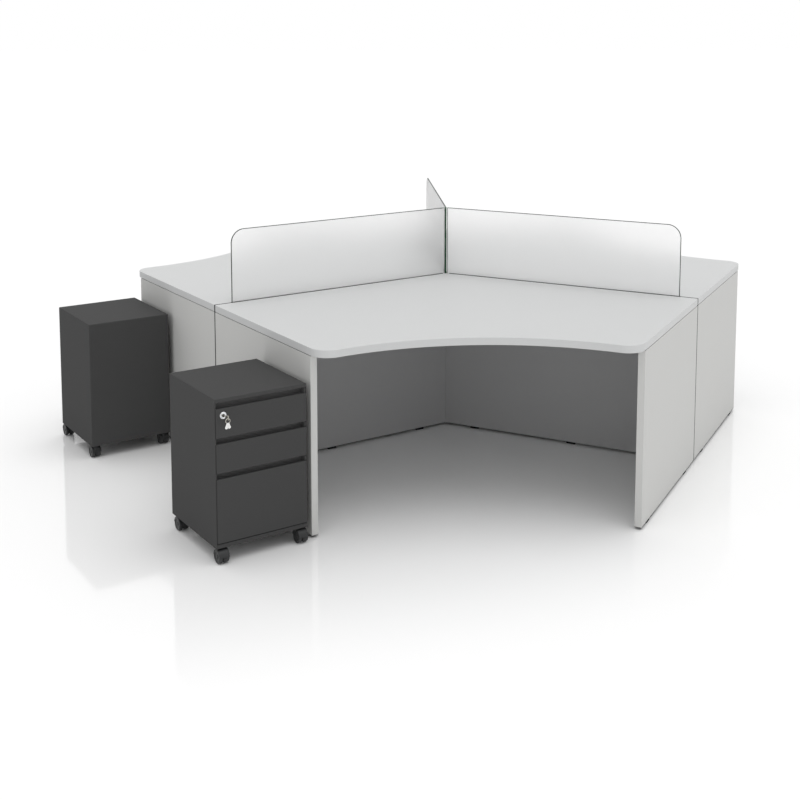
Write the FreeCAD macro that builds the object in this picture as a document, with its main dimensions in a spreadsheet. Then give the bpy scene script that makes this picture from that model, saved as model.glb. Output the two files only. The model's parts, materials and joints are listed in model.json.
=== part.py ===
import FreeCAD, Part
import math
import os
from types import SimpleNamespace

import Sketcher
from FreeCAD import Placement, Rotation, Vector

# Driving dimensions in millimetres. Lengths along a wing are counted from the axis of the cluster,
# depths from the seam between two back-to-back desks, heights from the floor.
SIZES = {
    # Worktops
    "wing_length": 1200,
    "wing_depth": 900,
    "front_corner_radius": 75,
    "worktop_height": 733,
    "worktop_thickness": 30,
    "worktop_edge_radius": 2,
    "desk_gap": 8,
    # Panels under the worktops
    "end_panel_setback": 75,
    "end_panel_thickness": 28,
    "modesty_thickness": 18,
    # Floor glides
    "glide_height": 8,
    "glide_length": 42,
    "glide_inset": 1,
    "glide_nail_radius": 2,
    "glide_nail_length": 20,
    "modesty_glide_near": 160,
    "modesty_glide_far": 640,
    "end_glide_near": 155,
    "end_glide_margin": 95,
    # Glass screens and their bolts
    "screen_reach": 1120,
    "screen_start": 6,
    "screen_rise": 315,
    "screen_drop": 200,
    "screen_thickness": 6,
    "screen_corner_radius": 60,
    "screen_bolt_near": 260,
    "screen_bolt_far": 860,
    "screen_bolt_drop": 130,
    "screen_bolt_radius": 4,
    "screen_bolt_head_radius": 9,
    "screen_bolt_head_height": 4,
    "screen_bush_radius": 12,
    # Cam bolts, cam locks and dowels
    "cam_margin": 120,
    "cam_radius": 7.5,
    "cam_depth": 13.5,
    "cam_inset": 24,
    "cam_bolt_radius": 3.5,
    "cam_bolt_bite": 11,
    "dowel_radius": 4,
    "dowel_in_panel": 25,
    "dowel_in_worktop": 12,
    "modesty_dowel_near": 300,
    "modesty_dowel_far": 960,
    "end_dowel_near": 220,
    "end_dowel_margin": 185,
    "mitre_dowel_radius": 3,
    "mitre_dowel_length": 20,
    # Pedestal carcass
    "pedestal_gap": 26,
    "pedestal_front": 840,
    "pedestal_width": 370,
    "pedestal_depth": 400,
    "pedestal_height": 608,
    "pedestal_underside": 57,
    "sheet": 1.2,
    "fold_radius": 4,
    "post_width": 9,
    "post_depth": 14,
    "top_rail": 14,
    "base_rail": 17,
    # Drawers
    "finger_gap": 22,
    "small_front": 107,
    "front_thickness": 16,
    "front_proud": 3,
    "front_side_gap": 2,
    "front_foot_gap": 3,
    "trough_width": 22,
    "trough_depth": 12,
    "pull_wall_clearance": 2,
    "box_rise": 8,
    "box_head_gap": 5,
    "box_back_gap": 14,
    # Runners
    "runner_depth": 15,
    "runner_height": 18,
    "runner_wall": 1.2,
    "runner_length": 350,
    "runner_rise": 34,
    "rail_clearance": 0.3,
    "rail_post_clearance": 0.8,
    "slide_gap": 0.5,
    # Lock, key, key ring and tag
    "lock_inset": 32,
    "lock_drop": 25,
    "rosette_radius": 16,
    "rosette_thickness": 2.5,
    "barrel_radius": 9,
    "barrel_length": 22,
    "plug_radius": 5.5,
    "plug_proud": 1,
    "cam_arm_length": 27,
    "cam_arm_width": 12,
    "cam_arm_thickness": 2.5,
    "key_blade_height": 7,
    "key_thickness": 2,
    "key_bite": 16,
    "key_reach": 38,
    "key_bow_radius": 10,
    "key_hole_radius": 3,
    "key_hole_rim": 3,
    "ring_radius": 8.5,
    "ring_wire_radius": 1.1,
    "tag_width": 10.4,
    "tag_height": 21,
    "tag_thickness": 2.5,
    # Castors
    "castor_inset": 24,
    "castor_trail": 12,
    "wheel_radius": 25,
    "wheel_width": 15.5,
    "axle_radius": 3,
    "fin_width": 8,
    "fin_ground_clearance": 9,
    "hood_thickness": 2.2,
    "hood_skirt": 2,
    "crown_radius": 11,
    "stem_radius": 5,
    "socket_radius": 9,
    "socket_height": 14,
    # Clearances shared by all pieces
    "side_clearance": 0.4,
    "hood_clearance": 0.8,
    "turning_clearance": 0.3,
    "running_clearance": 0.05,
    "overrun": 5,
}

SEATS = 3
HALF_SEAT = math.pi / SEATS
SEAT_SIN = math.sin(HALF_SEAT)
SEAT_COS = math.cos(HALF_SEAT)
SEAT_TURN = 360 / SEATS
# The two wings of the front desk, as its sitter sees them, and the way each points.
LEFT, RIGHT = -1, 1
LEFT_WING_ANGLE = 270 - SEAT_TURN / 2
RIGHT_WING_ANGLE = 270 + SEAT_TURN / 2
UP = Vector(0, 0, 1)
BACK = Vector(0, 1, 0)
ACROSS = Vector(1, 0, 0)
# How far each of the two tags on a key ring hangs out to its side, in degrees.
TAG_TURN = 22
# Two places on an outline that differ by less than this are one.
SAME_PLACE = 1e-5


class Size:
    """A length: the spreadsheet formula that gives it, and its value in millimetres."""

    def __init__(self, text, value):
        self.text = text
        self.value = value

    def __add__(self, other):
        other = as_size(other)
        return Size(f"({self.text} + {other.text})", self.value + other.value)

    def __sub__(self, other):
        other = as_size(other)
        return Size(f"({self.text} - {other.text})", self.value - other.value)

    def __mul__(self, factor):
        return Size(f"({self.text} * {factor!r})", self.value * factor)

    def __truediv__(self, divisor):
        return Size(f"({self.text} / {divisor!r})", self.value / divisor)

    def __neg__(self):
        return self * -1.0


def as_size(number):
    """The number itself if it is a Size already, or a Size that holds it."""
    return number if isinstance(number, Size) else Size(repr(float(number)), float(number))


doc = FreeCAD.newDocument("workstation_cluster")
sheet = doc.addObject("Spreadsheet::Sheet", "dims")
for row, (alias, value) in enumerate(SIZES.items(), start=1):
    sheet.set(f"A{row}", alias)
    sheet.set(f"B{row}", str(value))
    sheet.setAlias(f"B{row}", alias)
# The middle of the part's footprint, measured on the finished pieces.
for row, alias in enumerate(("footprint_x", "footprint_y"), start=len(SIZES) + 1):
    sheet.set(f"B{row}", "0")
    sheet.setAlias(f"B{row}", alias)
doc.recompute()

ZERO = as_size(0)
d = SimpleNamespace(**{alias: Size(f"dims.{alias}", float(value)) for alias, value in SIZES.items()})


# Building blocks


def bind(feature, prop, size):
    """Ties a property of a feature to a size."""
    feature.setExpression(prop, as_size(size).text)


def put(feature, point, rotation=Rotation()):
    """Places a feature with its base at a point."""
    feature.Placement = Placement(Vector(), rotation)
    for axis, size in zip("xyz", point):
        bind(feature, f"Placement.Base.{axis}", size)
    return feature


def block(corner, size, turn=0.0):
    """A box from its lowest corner, turned about the vertical through that corner."""
    feature = doc.addObject("Part::Box", "block")
    for prop, length in zip(("Length", "Width", "Height"), size):
        bind(feature, prop, length)
    return put(feature, corner, Rotation(UP, turn))


def span(low, high):
    """A box between two opposite corners."""
    return block(low, [as_size(b) - a for a, b in zip(low, high)])


def rod(radius, length, start, direction=UP):
    """A cylinder from the middle of its first end."""
    feature = doc.addObject("Part::Cylinder", "rod")
    bind(feature, "Radius", radius)
    bind(feature, "Height", length)
    return put(feature, start, Rotation(UP, direction))


def ring(radius, wire_radius, centre, axis):
    """A round ring of round wire."""
    feature = doc.addObject("Part::Torus", "ring")
    bind(feature, "Radius1", radius)
    bind(feature, "Radius2", wire_radius)
    return put(feature, centre, Rotation(UP, axis))


def fuse(*pieces):
    """One solid of pieces that are welded or moulded together."""
    feature = doc.addObject("Part::MultiFuse", "fuse")
    feature.Shapes = list(pieces)
    feature.Refine = True
    return feature


def group(pieces):
    """Separate pieces kept side by side."""
    feature = doc.addObject("Part::Compound", "group")
    feature.Links = list(pieces)
    return feature


def cut(base, *tools):
    """A piece with the room for other pieces taken out of it."""
    feature = doc.addObject("Part::Cut", "cut")
    feature.Base = base
    feature.Tool = tools[0] if len(tools) == 1 else fuse(*tools)
    return feature


def prism(points, bottom, height):
    """An upright prism on an outline of points; an entry (x, y, radius) bends the edge that follows it."""
    body = doc.addObject("PartDesign::Body", "prism")
    sketch = body.newObject("Sketcher::SketchObject", "outline")
    plane = next(f for f in body.Origin.OriginFeatures if f.Role == "XY_Plane")
    sketch.AttachmentSupport = [(plane, "")]
    sketch.MapMode = "FlatFace"
    places = [Vector(as_size(p[0]).value, as_size(p[1]).value, 0) for p in points]
    edges = []
    for point, start, end in zip(points, places, places[1:] + places[:1]):
        edges.append(sketch.addGeometry(edge_between(start, end, *point[2:])))
    for edge, following in zip(edges, edges[1:] + edges[:1]):
        sketch.addConstraint(Sketcher.Constraint("Coincident", *meeting(sketch, edge, following)))
    for edge, point, place in zip(edges, points, places):
        end = 1 if near(sketch.getPoint(edge, 1), place) else 2
        for kind, length in zip(("DistanceX", "DistanceY"), point):
            index = sketch.addConstraint(Sketcher.Constraint(kind, -1, 1, edge, end, as_size(length).value))
            bind(sketch, f"Constraints[{index}]", length)
        if len(point) > 2:
            radius = point[2] if point[2].value > 0 else -point[2]
            index = sketch.addConstraint(Sketcher.Constraint("Radius", edge, radius.value))
            bind(sketch, f"Constraints[{index}]", radius)
    pad = body.newObject("PartDesign::Pad", "pad")
    pad.Profile = sketch
    bind(pad, "Length", height)
    put(body, (ZERO, ZERO, bottom))
    return body


def near(first, second):
    """Whether two points of an outline are the same one."""
    return first.distanceToPoint(second) < SAME_PLACE


def meeting(sketch, edge, following):
    """The ends at which two edges of an outline meet."""
    for end in (1, 2):
        for start in (1, 2):
            if near(sketch.getPoint(edge, end), sketch.getPoint(following, start)):
                return edge, end, following, start
    raise ValueError("an outline is open")


def edge_between(start, end, radius=None):
    """A straight edge, or a bent one: a positive radius bulges to the right of the way from start to end."""
    if radius is None:
        return Part.LineSegment(start, end)
    chord = end - start
    right = Vector(chord.y, -chord.x, 0).normalize()
    reach = abs(radius.value)
    rise = math.sqrt(reach * reach - chord.Length * chord.Length / 4)
    side = 1 if radius.value > 0 else -1
    middle = start + chord * 0.5 + right * side * (reach - rise)
    return Part.Arc(start, middle, end)


def rounded(body, radius, wanted):
    """Rounds the edges of a body that the test picks."""
    doc.recompute()
    base = body.Tip
    fillet = body.newObject("PartDesign::Fillet", "rounding")
    box = base.Shape.BoundBox
    numbered = enumerate(base.Shape.Edges, start=1)
    fillet.Base = (base, [f"Edge{number}" for number, edge in numbered if wanted(edge, box)])
    bind(fillet, "Radius", radius)
    return body


def is_level(edge, box):
    """Whether an edge lies level."""
    return edge.BoundBox.ZLength < SAME_PLACE


def is_upright(edge, box):
    """Whether an edge stands upright."""
    return not is_level(edge, box)


def is_top_or_upright(edge, box):
    """Whether an edge stands upright or bounds the top."""
    return is_upright(edge, box) or near(Vector(0, 0, edge.BoundBox.ZMin), Vector(0, 0, box.ZMax))


nodes = {}


def node(name, pieces, turn=0.0, at=(ZERO, ZERO, ZERO)):
    """A named sub-part: one piece or a group of like pieces, turned and moved to its place."""
    feature = group(pieces)
    feature.Label = name
    feature.Placement = Placement(Vector(), Rotation(UP, turn))
    bind(feature, "Placement.Base.x", at[0] - Size("dims.footprint_x", 0.0))
    bind(feature, "Placement.Base.y", at[1] - Size("dims.footprint_y", 0.0))
    bind(feature, "Placement.Base.z", at[2])
    nodes[name] = feature


# Desks, drawn once for the front desk


def wing_point(side, along, depth, height):
    """A point of the front desk from its place along its left or right wing and in front of the seam."""
    x = (along * SEAT_SIN - depth * SEAT_COS) * float(side)
    y = -(along * SEAT_COS) - depth * SEAT_SIN
    return x, y, height


def along_wing(side):
    """The way outward along a wing of the front desk."""
    return Vector(side * SEAT_SIN, -SEAT_COS, 0)


def off_seam(side):
    """The way from the seam of a wing into the front desk."""
    return Vector(-side * SEAT_COS, -SEAT_SIN, 0)


def wing_block(side, along, depth, bottom, length, thickness, height):
    """A board that stands square to a wing of the front desk."""
    corner = wing_point(side, along, depth, bottom)
    if side == LEFT:
        return block(corner, (length, thickness, height), LEFT_WING_ANGLE)
    return block(corner, (thickness, length, height), RIGHT_WING_ANGLE - 90)


half_gap = d.desk_gap / 2
panel_top = d.worktop_height - d.worktop_thickness
panel_height = panel_top - d.glide_height
inner_end = d.wing_length - d.end_panel_thickness
modesty_middle = half_gap + d.modesty_thickness / 2
modesty_face = half_gap + d.modesty_thickness
end_middle = d.wing_length - d.end_panel_thickness / 2
end_panel_front = d.wing_depth - d.end_panel_setback
cam_heights = (
    d.glide_height + d.cam_margin,
    (d.glide_height + panel_top) / 2,
    panel_top - d.cam_margin,
)


def make_worktop():
    """The worktop: a kite with its front hollowed by one arc that runs into the rounded corners."""
    bend = d.wing_length - d.front_corner_radius
    hollow = bend * math.tan(HALF_SEAT) - d.wing_depth
    tip = (ZERO, -(half_gap / SEAT_SIN))

    def corner(side, along, depth):
        return wing_point(side, along, depth, ZERO)[:2]

    points = [
        tip,
        corner(LEFT, d.wing_length, half_gap),
        corner(LEFT, d.wing_length, d.wing_depth - d.front_corner_radius) + (d.front_corner_radius,),
        corner(LEFT, bend, d.wing_depth) + (-hollow,),
        corner(RIGHT, bend, d.wing_depth) + (d.front_corner_radius,),
        corner(RIGHT, d.wing_length, d.wing_depth - d.front_corner_radius),
        corner(RIGHT, d.wing_length, half_gap),
    ]
    return rounded(prism(points, panel_top, d.worktop_thickness), d.worktop_edge_radius, is_level)


def make_modesty(side):
    """A modesty panel along a wing, mitred where it meets its pair at the middle of the desk."""
    points = [
        wing_point(side, depth / math.tan(HALF_SEAT), depth, ZERO)[:2] for depth in (modesty_face, half_gap)
    ]
    points += [wing_point(side, inner_end, depth, ZERO)[:2] for depth in (half_gap, modesty_face)]
    return prism(points, d.glide_height, panel_height)


def make_glides(side):
    """Glides under the two panels of a wing: a long foot and a nail up into the panel."""
    nail_top = d.glide_nail_length + d.glide_height
    end_width = d.end_panel_thickness - d.glide_inset * 2.0
    modesty_width = d.modesty_thickness - d.glide_inset * 2.0
    feet = [
        (d.modesty_glide_near, modesty_middle, d.glide_length, modesty_width),
        (d.modesty_glide_far, modesty_middle, d.glide_length, modesty_width),
        (end_middle, d.end_glide_near, end_width, d.glide_length),
        (end_middle, end_panel_front - d.end_glide_margin, end_width, d.glide_length),
    ]
    return [
        fuse(
            wing_block(side, along - length / 2, depth - width / 2, ZERO, length, width, d.glide_height),
            rod(d.glide_nail_radius, nail_top, wing_point(side, along, depth, ZERO)),
        )
        for along, depth, length, width in feet
    ]


def make_top_dowels(side):
    """Upright dowels from the panels of a wing into the worktop."""
    places = [(d.modesty_dowel_near, modesty_middle), (d.modesty_dowel_far, modesty_middle)]
    places += [(end_middle, d.end_dowel_near), (end_middle, end_panel_front - d.end_dowel_margin)]
    foot = panel_top - d.dowel_in_panel
    length = d.dowel_in_panel + d.dowel_in_worktop
    return [rod(d.dowel_radius, length, wing_point(side, along, depth, foot)) for along, depth in places]


def make_mitre_dowels():
    """Level dowels across the mitre of the two modesty panels."""
    y = -(modesty_middle / SEAT_SIN)
    x = -(d.mitre_dowel_length / 2)
    return [rod(d.mitre_dowel_radius, d.mitre_dowel_length, (x, y, z), ACROSS) for z in cam_heights]


def make_cam_bolts(side):
    """Bolts that stand in the end panel and reach into the end of the modesty panel."""
    start = inner_end - d.cam_inset
    length = d.cam_inset + d.cam_bolt_bite
    return [
        rod(d.cam_bolt_radius, length, wing_point(side, start, modesty_middle, z), along_wing(side))
        for z in cam_heights
    ]


def make_cams(side):
    """Round cams let into the inner face of the modesty panel, over the ends of the bolts."""
    start = modesty_face - d.cam_depth
    return [
        rod(d.cam_radius, d.cam_depth, wing_point(side, inner_end - d.cam_inset, start, z), off_seam(side))
        for z in cam_heights
    ]


# Screens, drawn once on the left wing and turned to the others

glass_bottom = d.worktop_height - d.screen_drop
screen_bolt_height = panel_top - d.screen_bolt_drop
screen_bolt_places = ((d.screen_bolt_near, screen_bolt_height), (d.screen_bolt_far, screen_bolt_height))


def make_screen():
    """A sheet of glass along the left wing, with its outer top corner rounded."""
    half = d.screen_thickness / 2
    ends = [(d.screen_start, half), (d.screen_start, -half), (d.screen_reach, -half), (d.screen_reach, half)]
    points = [wing_point(LEFT, along, depth, ZERO)[:2] for along, depth in ends]
    outer = wing_point(LEFT, d.screen_reach, ZERO, ZERO)

    def is_outer_top(edge, box):
        middle = edge.CenterOfMass
        at_top = near(Vector(0, 0, middle.z), Vector(0, 0, box.ZMax))
        return at_top and near(Vector(middle.x, middle.y, 0), Vector(outer[0].value, outer[1].value, 0))

    body = prism(points, glass_bottom, d.screen_drop + d.screen_rise)
    return rounded(body, d.screen_corner_radius, is_outer_top)


def make_screen_bolts(side):
    """Bolts through two back-to-back modesty panels and the glass, with a low head at each end."""
    across = off_seam(side)
    outside = modesty_face + d.screen_bolt_head_height
    bolts = []
    for along, z in screen_bolt_places:
        bolts.append(
            fuse(
                rod(d.screen_bolt_radius, outside * 2.0, wing_point(side, along, -outside, z), across),
                rod(
                    d.screen_bolt_head_radius,
                    d.screen_bolt_head_height,
                    wing_point(side, along, -outside, z),
                    across,
                ),
                rod(
                    d.screen_bolt_head_radius,
                    d.screen_bolt_head_height,
                    wing_point(side, along, modesty_face, z),
                    across,
                ),
            )
        )
    return bolts


def make_screen_bushes(bolts):
    """Flat bushes that fill the room between the glass and the panels round each bolt."""
    thickness = (d.desk_gap - d.screen_thickness) / 2
    bushes = []
    for (along, z), bolt in zip(screen_bolt_places, bolts):
        for start in (-half_gap, d.screen_thickness / 2):
            place = wing_point(LEFT, along, start, z)
            bushes.append(cut(rod(d.screen_bush_radius, thickness, place, off_seam(LEFT)), bolt))
    return bushes


def build_desks():
    """All pieces of the three desks and the screens between them."""
    worktop_dowels = []
    fittings = {"cam_bolts": [], "cam_locks": [], "dowels": [], "floor_glides": []}
    panels = {}
    mitre_dowels = make_mitre_dowels()
    for side, word in ((LEFT, "left"), (RIGHT, "right")):
        glides = make_glides(side)
        dowels = make_top_dowels(side)
        cam_bolts = make_cam_bolts(side)
        cams = make_cams(side)
        screen_bolts = make_screen_bolts(side)
        end_panel = wing_block(
            side,
            inner_end,
            half_gap,
            d.glide_height,
            d.end_panel_thickness,
            end_panel_front - half_gap,
            panel_height,
        )
        panels[f"{word}_end_panel"] = cut(end_panel, *glides[2:], *dowels[2:], *cam_bolts)
        bores = glides[:2] + dowels[:2] + mitre_dowels + cam_bolts + cams + screen_bolts
        panels[f"{word}_modesty_panel"] = cut(make_modesty(side), *bores)
        worktop_dowels += dowels
        fittings["floor_glides"] += glides
        fittings["dowels"] += dowels
        fittings["cam_bolts"] += cam_bolts
        fittings["cam_locks"] += [cut(cam, bolt) for cam, bolt in zip(cams, cam_bolts)]
        if side == LEFT:
            fittings["screen_bolts"] = screen_bolts
            fittings["screen_bushes"] = make_screen_bushes(screen_bolts)
            screen = cut(make_screen(), *screen_bolts)
    fittings["dowels"] += mitre_dowels
    worktop = cut(make_worktop(), *worktop_dowels)

    for turn, desk, wing in ((0, "front", "left"), (1, "right", "right"), (2, "left", "rear")):
        angle = turn * SEAT_TURN
        node(f"{desk}_desk_worktop", [worktop], angle)
        for word, panel in panels.items():
            node(f"{desk}_desk_{word}", [panel], angle)
        node(f"{wing}_screen", [screen], angle)
    for name, pieces in fittings.items():
        turned = []
        for turn in range(SEATS):
            copy = group(pieces)
            copy.Placement = Placement(Vector(), Rotation(UP, turn * SEAT_TURN))
            turned.append(copy)
        node(name, turned)


# Pedestals, drawn once with the front at y = 0 and the left side at x = 0

front_face = -d.front_proud
front_back = front_face + d.front_thickness
front_left = d.post_width + d.front_side_gap
front_right = d.pedestal_width - front_left
box_front = front_back + d.trough_width
box_left = d.sheet + d.runner_depth + d.slide_gap
box_right = d.pedestal_width - box_left
box_back = d.pedestal_depth - d.sheet - d.box_back_gap
castor_places = (
    ("front_left", d.castor_inset, d.castor_inset),
    ("front_right", d.pedestal_width - d.castor_inset, d.castor_inset),
    ("back_left", d.castor_inset, d.pedestal_depth - d.castor_inset),
    ("back_right", d.pedestal_width - d.castor_inset, d.pedestal_depth - d.castor_inset),
)

top_front_head = d.pedestal_height - d.top_rail - d.finger_gap
middle_front_head = top_front_head - d.small_front - d.finger_gap
file_front_head = middle_front_head - d.small_front - d.finger_gap
file_front_foot = d.pedestal_underside + d.base_rail + d.front_foot_gap
drawer_levels = {
    "top_drawer": (top_front_head - d.small_front, top_front_head),
    "middle_drawer": (middle_front_head - d.small_front, middle_front_head),
    "file_drawer": (file_front_foot, file_front_head),
}


def rectangle(margin):
    """The outline of the carcass, drawn in by a margin."""
    left, right = margin, d.pedestal_width - margin
    front, back = margin, d.pedestal_depth - margin
    return [(left, front), (right, front), (right, back), (left, back)]


def make_carcass():
    """The welded carcass: sides, back and top of folded sheet, with posts and a top rail round the front."""
    skin = prism(rectangle(ZERO), d.pedestal_underside, d.pedestal_height - d.pedestal_underside)
    skin = rounded(skin, d.fold_radius, is_top_or_upright)
    room_foot = d.pedestal_underside - d.overrun
    room = prism(rectangle(d.sheet), room_foot, d.pedestal_height - d.sheet - room_foot)
    room = rounded(room, d.fold_radius - d.sheet, is_top_or_upright)
    opening = span(
        (d.post_width, -d.overrun, room_foot),
        (d.pedestal_width - d.post_width, d.overrun, d.pedestal_height - d.top_rail),
    )
    shell = cut(cut(skin, room), opening)
    foot = d.pedestal_underside
    rail_foot = d.pedestal_height - d.top_rail
    returns = [
        span((d.post_width - d.sheet, ZERO, foot), (d.post_width, d.post_depth, rail_foot + d.sheet)),
        span(
            (d.pedestal_width - d.post_width, ZERO, foot),
            (d.pedestal_width - d.post_width + d.sheet, d.post_depth, rail_foot + d.sheet),
        ),
        span(
            (d.post_width - d.sheet, ZERO, rail_foot),
            (d.pedestal_width - d.post_width + d.sheet, d.post_depth, rail_foot + d.sheet),
        ),
    ]
    return fuse(shell, *returns)


def make_base():
    """The base pan: a floor between the sides, a rail across the front and four castor sockets."""
    floor_top = d.pedestal_underside + d.sheet
    pan = prism(rectangle(d.sheet), d.pedestal_underside, d.sheet)
    pan = rounded(pan, d.fold_radius - d.sheet, is_upright)
    post_room = [
        span((left, ZERO, d.pedestal_underside - d.overrun), (right, d.post_depth, floor_top + d.overrun))
        for left, right in ((ZERO, d.post_width), (d.pedestal_width - d.post_width, d.pedestal_width))
    ]
    rail_left, rail_right = d.post_width, d.pedestal_width - d.post_width
    rail_top = d.pedestal_underside + d.base_rail
    rail = span((rail_left, ZERO, d.pedestal_underside), (rail_right, d.sheet, rail_top))
    lip = span((rail_left, ZERO, rail_top - d.sheet), (rail_right, d.post_depth, rail_top))
    sockets = [
        rod(d.socket_radius, d.socket_height + d.sheet, (x, y, d.pedestal_underside))
        for word, x, y in castor_places
    ]
    bores = [
        rod(
            d.stem_radius + d.running_clearance,
            d.socket_height + d.overrun * 2.0,
            (x, y, d.pedestal_underside - d.overrun),
        )
        for word, x, y in castor_places
    ]
    return cut(fuse(cut(pan, *post_room), rail, lip, *sockets), *bores)


def runner_heights(foot):
    """The lowest and highest level of a runner channel for a drawer front with the given foot."""
    return foot + d.runner_rise, foot + d.runner_rise + d.runner_height


def make_runners():
    """A pair of channels for each drawer, open towards the drawer, on the sides of the carcass."""
    channels = []
    front = d.post_depth + d.side_clearance
    back = front + d.runner_length
    for foot, head in drawer_levels.values():
        low, high = runner_heights(foot)
        outer_left, inner_left = d.sheet, d.sheet + d.runner_depth
        outer_right, inner_right = d.pedestal_width - outer_left, d.pedestal_width - inner_left
        groove_low, groove_high = low + d.runner_wall, high - d.runner_wall
        channels.append(
            cut(
                span((outer_left, front, low), (inner_left, back, high)),
                span(
                    (outer_left + d.runner_wall, front - d.overrun, groove_low),
                    (inner_left + d.overrun, back + d.overrun, groove_high),
                ),
            )
        )
        channels.append(
            cut(
                span((inner_right, front, low), (outer_right, back, high)),
                span(
                    (inner_right - d.overrun, front - d.overrun, groove_low),
                    (outer_right - d.runner_wall, back + d.overrun, groove_high),
                ),
            )
        )
    return channels


def make_drawer(foot, head):
    """A drawer: a front pan whose top lip is the pull, a trough behind it, a box and a rail on each side."""
    sheet_face = front_face + d.sheet
    pan = cut(
        span((front_left, front_face, foot), (front_right, front_back, head)),
        span(
            (front_left + d.sheet, sheet_face, foot + d.sheet),
            (front_right - d.sheet, front_back + d.overrun, head - d.sheet),
        ),
    )
    trough_top = head - d.trough_depth
    box_foot = foot + d.box_rise
    box_head = trough_top - d.box_head_gap
    low, high = runner_heights(foot)
    rail_low = low + d.runner_wall + d.rail_clearance
    rail_high = high - d.runner_wall - d.rail_clearance
    rail_reach = d.post_width + d.rail_post_clearance
    rail_back = d.post_depth + d.side_clearance + d.runner_length
    plates = [
        span((front_left, front_face, trough_top - d.sheet), (front_right, box_front, trough_top)),
        span(
            (front_left, box_front, trough_top - d.sheet),
            (front_right, box_front + d.sheet, head + d.finger_gap - d.pull_wall_clearance),
        ),
        span((box_left, box_front, box_foot), (box_right, box_front + d.sheet, trough_top)),
        span((box_left, front_face, box_foot), (box_right, box_back, box_foot + d.sheet)),
        span((box_left, box_back - d.sheet, box_foot), (box_right, box_back, box_head)),
        span((box_left, box_front, box_foot), (box_left + d.sheet, box_back, box_head)),
        span((box_right - d.sheet, box_front, box_foot), (box_right, box_back, box_head)),
        span((rail_reach, box_front, rail_low), (box_left + d.sheet, rail_back, rail_high)),
        span(
            (box_right - d.sheet, box_front, rail_low),
            (d.pedestal_width - rail_reach, rail_back, rail_high),
        ),
    ]
    return fuse(pan, *plates)


lock_x = d.lock_inset
lock_z = top_front_head - d.lock_drop
rosette_face = front_face - d.rosette_thickness
barrel_end = front_face + d.barrel_length
plug_face = rosette_face - d.plug_proud
ring_y = front_face - d.key_reach
bow_y = ring_y + d.key_bow_radius - d.key_hole_rim - d.key_hole_radius
ring_top_z = lock_z - d.key_hole_radius + d.ring_wire_radius + d.turning_clearance


def make_lock_body():
    """The outside of the lock: a rosette on the drawer front and a barrel through it."""
    return fuse(
        rod(d.rosette_radius, d.rosette_thickness, (lock_x, rosette_face, lock_z), BACK),
        rod(d.barrel_radius, d.barrel_length, (lock_x, front_face, lock_z), BACK),
    )


def make_plug_bore():
    """The bore that the plug turns in."""
    length = d.barrel_length + d.rosette_thickness + d.overrun * 2.0
    start = (lock_x, rosette_face - d.overrun, lock_z)
    return rod(d.plug_radius + d.running_clearance, length, start, BACK)


def make_key():
    """A flat key, upright in the plug, with a round bow and a hole near its outer rim."""
    half = d.key_thickness / 2
    tip = plug_face + d.key_bite
    blade = span(
        (lock_x - half, bow_y, lock_z - d.key_blade_height / 2),
        (lock_x + half, tip, lock_z + d.key_blade_height / 2),
    )
    bow = rod(d.key_bow_radius, d.key_thickness, (lock_x - half, bow_y, lock_z), ACROSS)
    hole = rod(
        d.key_hole_radius,
        d.key_thickness + d.overrun * 2.0,
        (lock_x - half - d.overrun, ring_y, lock_z),
        ACROSS,
    )
    return cut(fuse(blade, bow), hole)


def make_plug(key):
    """The turning plug, slotted for the key, with the cam arm that hangs behind the barrel."""
    arm_front = barrel_end + d.turning_clearance
    arm_back = arm_front + d.cam_arm_thickness
    core = rod(d.plug_radius, arm_back - plug_face, (lock_x, plug_face, lock_z), BACK)
    arm = span(
        (lock_x - d.cam_arm_width / 2, arm_front, lock_z - d.cam_arm_length),
        (lock_x + d.cam_arm_width / 2, arm_back, lock_z),
    )
    return cut(fuse(core, arm), key)


def make_tag(turn):
    """A flat tag that hangs from the foot of the key ring, turned to one side about its head."""
    head = ring_top_z - d.ring_radius * 2.0 + d.ring_wire_radius
    cos, sin = math.cos(math.radians(turn)), math.sin(math.radians(turn))
    corner = (
        lock_x - d.tag_width * (cos / 2) - d.tag_height * sin,
        ring_y - d.tag_thickness / 2,
        head + d.tag_width * (sin / 2) - d.tag_height * cos,
    )
    tag = block(corner, (d.tag_width, d.tag_thickness, d.tag_height))
    return put(tag, corner, Rotation(BACK, turn))


def make_key_tag():
    """A wire ring through the hole of the key, moulded into the heads of two flat tags."""
    wire = ring(d.ring_radius, d.ring_wire_radius, (lock_x, ring_y, ring_top_z - d.ring_radius), BACK)
    return fuse(wire, make_tag(-TAG_TURN), make_tag(TAG_TURN))


castor_width = d.fin_width + (d.side_clearance + d.wheel_width) * 2.0
hood_room = d.wheel_radius + d.hood_clearance
hood_radius = hood_room + d.hood_thickness


def castor_rod(radius, width):
    """A cylinder about the axle of a castor, whose swivel axis is at the origin."""
    return rod(radius, width, (-(width / 2), -d.castor_trail, d.wheel_radius), ACROSS)


def below(level):
    """A block that holds everything of a castor below a level."""
    reach = hood_radius * 2.0
    return span((-reach, -reach - d.castor_trail, -d.overrun), (reach, reach, level))


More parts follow.
